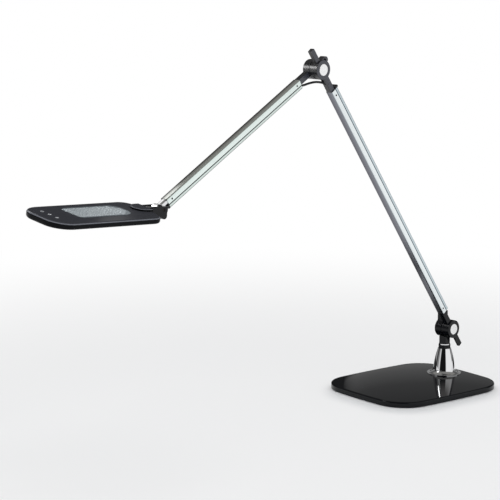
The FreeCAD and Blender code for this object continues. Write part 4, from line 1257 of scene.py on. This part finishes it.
@dataclass
class Studio:
    """The pale floor, the soft light and the camera.

    Attributes:
        eye: The camera's place.
        tilt: How far it looks down, in degrees.
        heading: Its turn about Z, in degrees.
        lens: Its focal length in millimetres.
        sensor: The width of its picture plane in millimetres.
        clip: The nearest and the farthest distance that it shows.
        floor_middle: The middle of the floor.
        floor_reach: The floor's radius.
        floor_tones: The two colours of its soft clouds.
        fade: Where the floor starts and ends fading to white, from its middle.
        veil: The share of white that the floor shows at the lamp.
        shade_middle: The middle of the painted shadow at the base's near side, a base-shaped patch where the
            veil is off, so the floor there shows darker, partly by its real shadow.
        shade_half: The shade's half sizes, those of the base.
        shade_corner: The radius of its corners.
        shade_turn: Its turn about Z, in degrees.
        shade_soft: How far from its outline it starts and ends fading.
        card_middle: The middle of the card's curve along Y.
        card_radius: Its radius.
        card_height: Its height.
        card_arc: Where the card starts and ends, in degrees about Z.
        card_steps: The flat faces along it.
        card_fade: Where its far end starts and ends darkening, in degrees past -X.
        card_dark: The level of that end.
        card_tones: Its levels, by share of its height.
        lights: The key, top and fill lights, and two small boxes that the hinges and the knuckle mirror.
        flag_turn: The zero of the flags' bearings, in degrees about Z.
        flags: The levels that gloss mirrors in the world, by bearing in degrees.
        overhead: The colour that gloss mirrors overhead.
        overhead_rise: Where that colour starts and is full, by height.
        ambient: The colour of the world's own light.
    """

    eye: Point = (1.5197, -1.8555, 0.6181)
    tilt: float = 10.17
    heading: float = 44.67
    lens: float = 129.47
    sensor: float = 36.0
    clip: Flat = (0.05, 60.0)
    floor_middle: Flat = (0.0, -0.25)
    floor_reach: float = 9.0
    floor_tones: tuple[str, str] = ("efeff0", "f2f2f2")
    fade: Flat = (0.35, 1.3)
    veil: float = 0.52
    shade_middle: Point = (16 * MM, -22 * MM, 0.0)
    shade_half: Flat = (84.7 * MM, 99.5 * MM)
    shade_corner: float = 57 * MM
    shade_turn: float = -7.2
    shade_soft: Flat = (-8 * MM, 22 * MM)
    card_middle: float = 0.066
    card_radius: float = 0.14
    card_height: float = 0.095
    card_arc: Flat = (56.0, 226.0)
    card_steps: int = 48
    card_fade: Flat = (8.0, 44.0)
    card_dark: float = 0.02
    card_tones: Sequence[Flat] = ((0.0, 0.02), (0.22, 0.03), (0.32, 0.40), (0.40, 0.30), (0.62, 0.16),
                                  (1.0, 0.10))
    lights: Sequence[Light] = (
        Light("key", (1.9, -0.1, 1.5), 1.7, 8.0),
        Light("top", (0.1, -0.5, 2.2), 2.0, 15.0),
        Light("fill", (-1.5, -1.4, 1.7), 1.6, 5.0),
        Light("hinge_box", (-0.43, -0.57, 0.62), 0.22, 1.2, (0.0, -0.204, 0.444), True),
        Light("bar_box", (-0.087, -0.430, 0.382), 0.045, 0.005, (-0.003, -0.459, 0.306), True))
    flag_turn: float = -50.7
    flags: Sequence[Flat] = ((-180, 0.04), (-130, 0.05), (-118, 0.14), (-68, 0.26), (-60, 0.75), (-51, 0.75),
                             (-45, 0.008), (16, 0.008), (22, 1.0), (96, 1.0), (106, 0.05), (180, 0.04))
    overhead: Colour = (0.25, 0.245, 0.235, 1.0)
    overhead_rise: Flat = (0.45, 0.70)
    ambient: Colour = (0.46, 0.47, 0.48, 1.0)

    def build(self) -> None:
        """Makes the studio."""
        self.build_camera()
        self.build_floor()
        self.build_card()
        for light in self.lights:
            light.build()
        self.build_world()
        bpy.context.scene.view_settings.view_transform = "Standard"

    def build_camera(self) -> None:
        """Stands the camera at the photograph's angle."""
        lens = bpy.data.cameras.new("camera")
        lens.lens = self.lens
        lens.sensor_width = self.sensor
        lens.clip_start, lens.clip_end = self.clip
        camera = bpy.data.objects.new("camera", lens)
        camera.location = self.eye
        camera.rotation_euler = (math.radians(90 - self.tilt), 0, math.radians(self.heading))
        bpy.context.collection.objects.link(camera)
        bpy.context.scene.camera = camera

    def build_floor(self) -> None:
        """Lays the pale floor, which fades to white away from the lamp."""
        mesh = bpy.data.meshes.new("floor")
        rim = arc(self.floor_middle, self.floor_reach, 0, 360, 64)[:-1]
        mesh.from_pydata([(x, y, 0) for x, y in rim], [], [list(range(len(rim)))])
        floor = placed("floor", mesh)
        material, tree = blank("pale_floor")
        spot = tree.spot()
        across, along, _ = tree.parts(spot)
        away = tree.span(across - self.floor_middle[0], along - self.floor_middle[1])
        first, second = (paint(tone) for tone in self.floor_tones)
        sheet = tree.surface({"Base Color": tree.mix(tree.noise(spot, 5.0), first, second), "Roughness": 0.6,
                              "Specular IOR Level": 0.2})
        veiled = tree.step(away, *self.fade) * (1 - self.veil) + self.veil
        # Painted shadow: the white veil is taken off in a base-shaped patch, so the floor's real shadow and
        # its plain shade show there.
        share = veiled * self.clear(tree, spot) * self.seen(tree)
        tree.end(tree.out(tree.node("ShaderNodeMixShader", {0: share, 1: sheet, 2: tree.shine(WHITE)})))
        mesh.materials.append(material)

    def clear(self, tree: ShaderTree, spot: Wire) -> Wire:
        """How far a place on the floor is out of the painted shadow patch at the base.

        Args:
            tree: The floor's tree.
            spot: The place.

        Returns:
            0 in the painted shadow patch, rising to 1 outside it.
        """
        moved = tree.vector("SUBTRACT", spot, self.shade_middle)
        turned = tree.laid(moved, (0.0, 0.0, math.radians(-self.shade_turn)))
        across, along = (tree.math("MAXIMUM", tree.math("ABSOLUTE", part) - (half - self.shade_corner), 0)
                         for part, half in zip(tree.parts(turned), self.shade_half))
        return tree.step(tree.span(across, along) - self.shade_corner, *self.shade_soft)

    @staticmethod
    def seen(tree: ShaderTree) -> Wire:
        """Marks the rays that show the background: from the camera, off gloss or through glass.

        Args:
            tree: The tree that the nodes go into.

        Returns:
            1 for those rays and 0 for the others.
        """
        path = tree.node("ShaderNodeLightPath")
        rays = [tree.out(path, "Is " + kind + " Ray") for kind in ("Camera", "Glossy", "Transmission")]
        return tree.math("MINIMUM", rays[0] + rays[1] + rays[2], 1.0)

    def build_card(self) -> None:
        """Stands a low curved card behind the base, which only gloss and bright metal mirror."""
        form = bmesh.new()
        line = arc((0, self.card_middle), self.card_radius, *self.card_arc, self.card_steps)
        low, high = ([form.verts.new((x, y, z)) for x, y in line] for z in (0.0, self.card_height))
        for at in range(self.card_steps):
            form.faces.new((low[at], low[at + 1], high[at + 1], high[at]))
        mesh = bpy.data.meshes.new("card")
        form.to_mesh(mesh)
        form.free()
        card = placed("card", mesh)
        material, tree = blank("graded_card")
        across, along, up = tree.parts(tree.spot())
        turn = tree.math("ARCTAN2", self.card_middle - along, across * -1)
        kept = 1 - tree.step(turn, *(math.radians(angle) for angle in self.card_fade))
        tones = tree.ramp(up / self.card_height, [(at, grey(level)) for at, level in self.card_tones])
        tree.end(tree.shine(tree.mix(kept, grey(self.card_dark), tones)))
        mesh.materials.append(material)
        card.visible_camera = card.visible_diffuse = card.visible_shadow = card.visible_transmission = False

    def build_world(self) -> None:
        """Paints the white studio, and the dark flags that bright metal mirrors in it."""
        world = bpy.data.worlds.new("studio")
        world.use_nodes = True
        bpy.context.scene.world = world
        tree = ShaderTree(world.node_tree)
        east, north, up = tree.parts(tree.spot("Generated"))
        turn = math.radians(self.flag_turn)
        ahead = east * math.cos(turn) + north * math.sin(turn)
        right = north * math.cos(turn) - east * math.sin(turn)
        bearing = tree.math("ARCTAN2", right, ahead) / (2 * math.pi) + 0.5
        bands = tree.ramp(bearing, [((angle + 180) / 360, grey(level)) for angle, level in self.flags])
        flags = tree.mix(tree.step(up, *self.overhead_rise), bands, self.overhead)
        shown = tree.mix(self.seen(tree), self.ambient, WHITE)
        glossy = tree.out(tree.node("ShaderNodeLightPath"), "Is Glossy Ray")
        sockets = {"Color": tree.mix(glossy, shown, flags), "Strength": 1.0}
        tree.end(tree.out(tree.node("ShaderNodeBackground", sockets)), "ShaderNodeOutputWorld")


def main() -> None:
    """Builds the studio and the lamp."""
    logging.basicConfig(level=logging.INFO, format="%(name)s: %(message)s")
    Studio().build()
    Base().dress()
    Post().dress()
    for part in (UpperArm(), LowerArm(), Head()):
        part.dress()
        part.build()


if __name__ == "__main__":
    main()
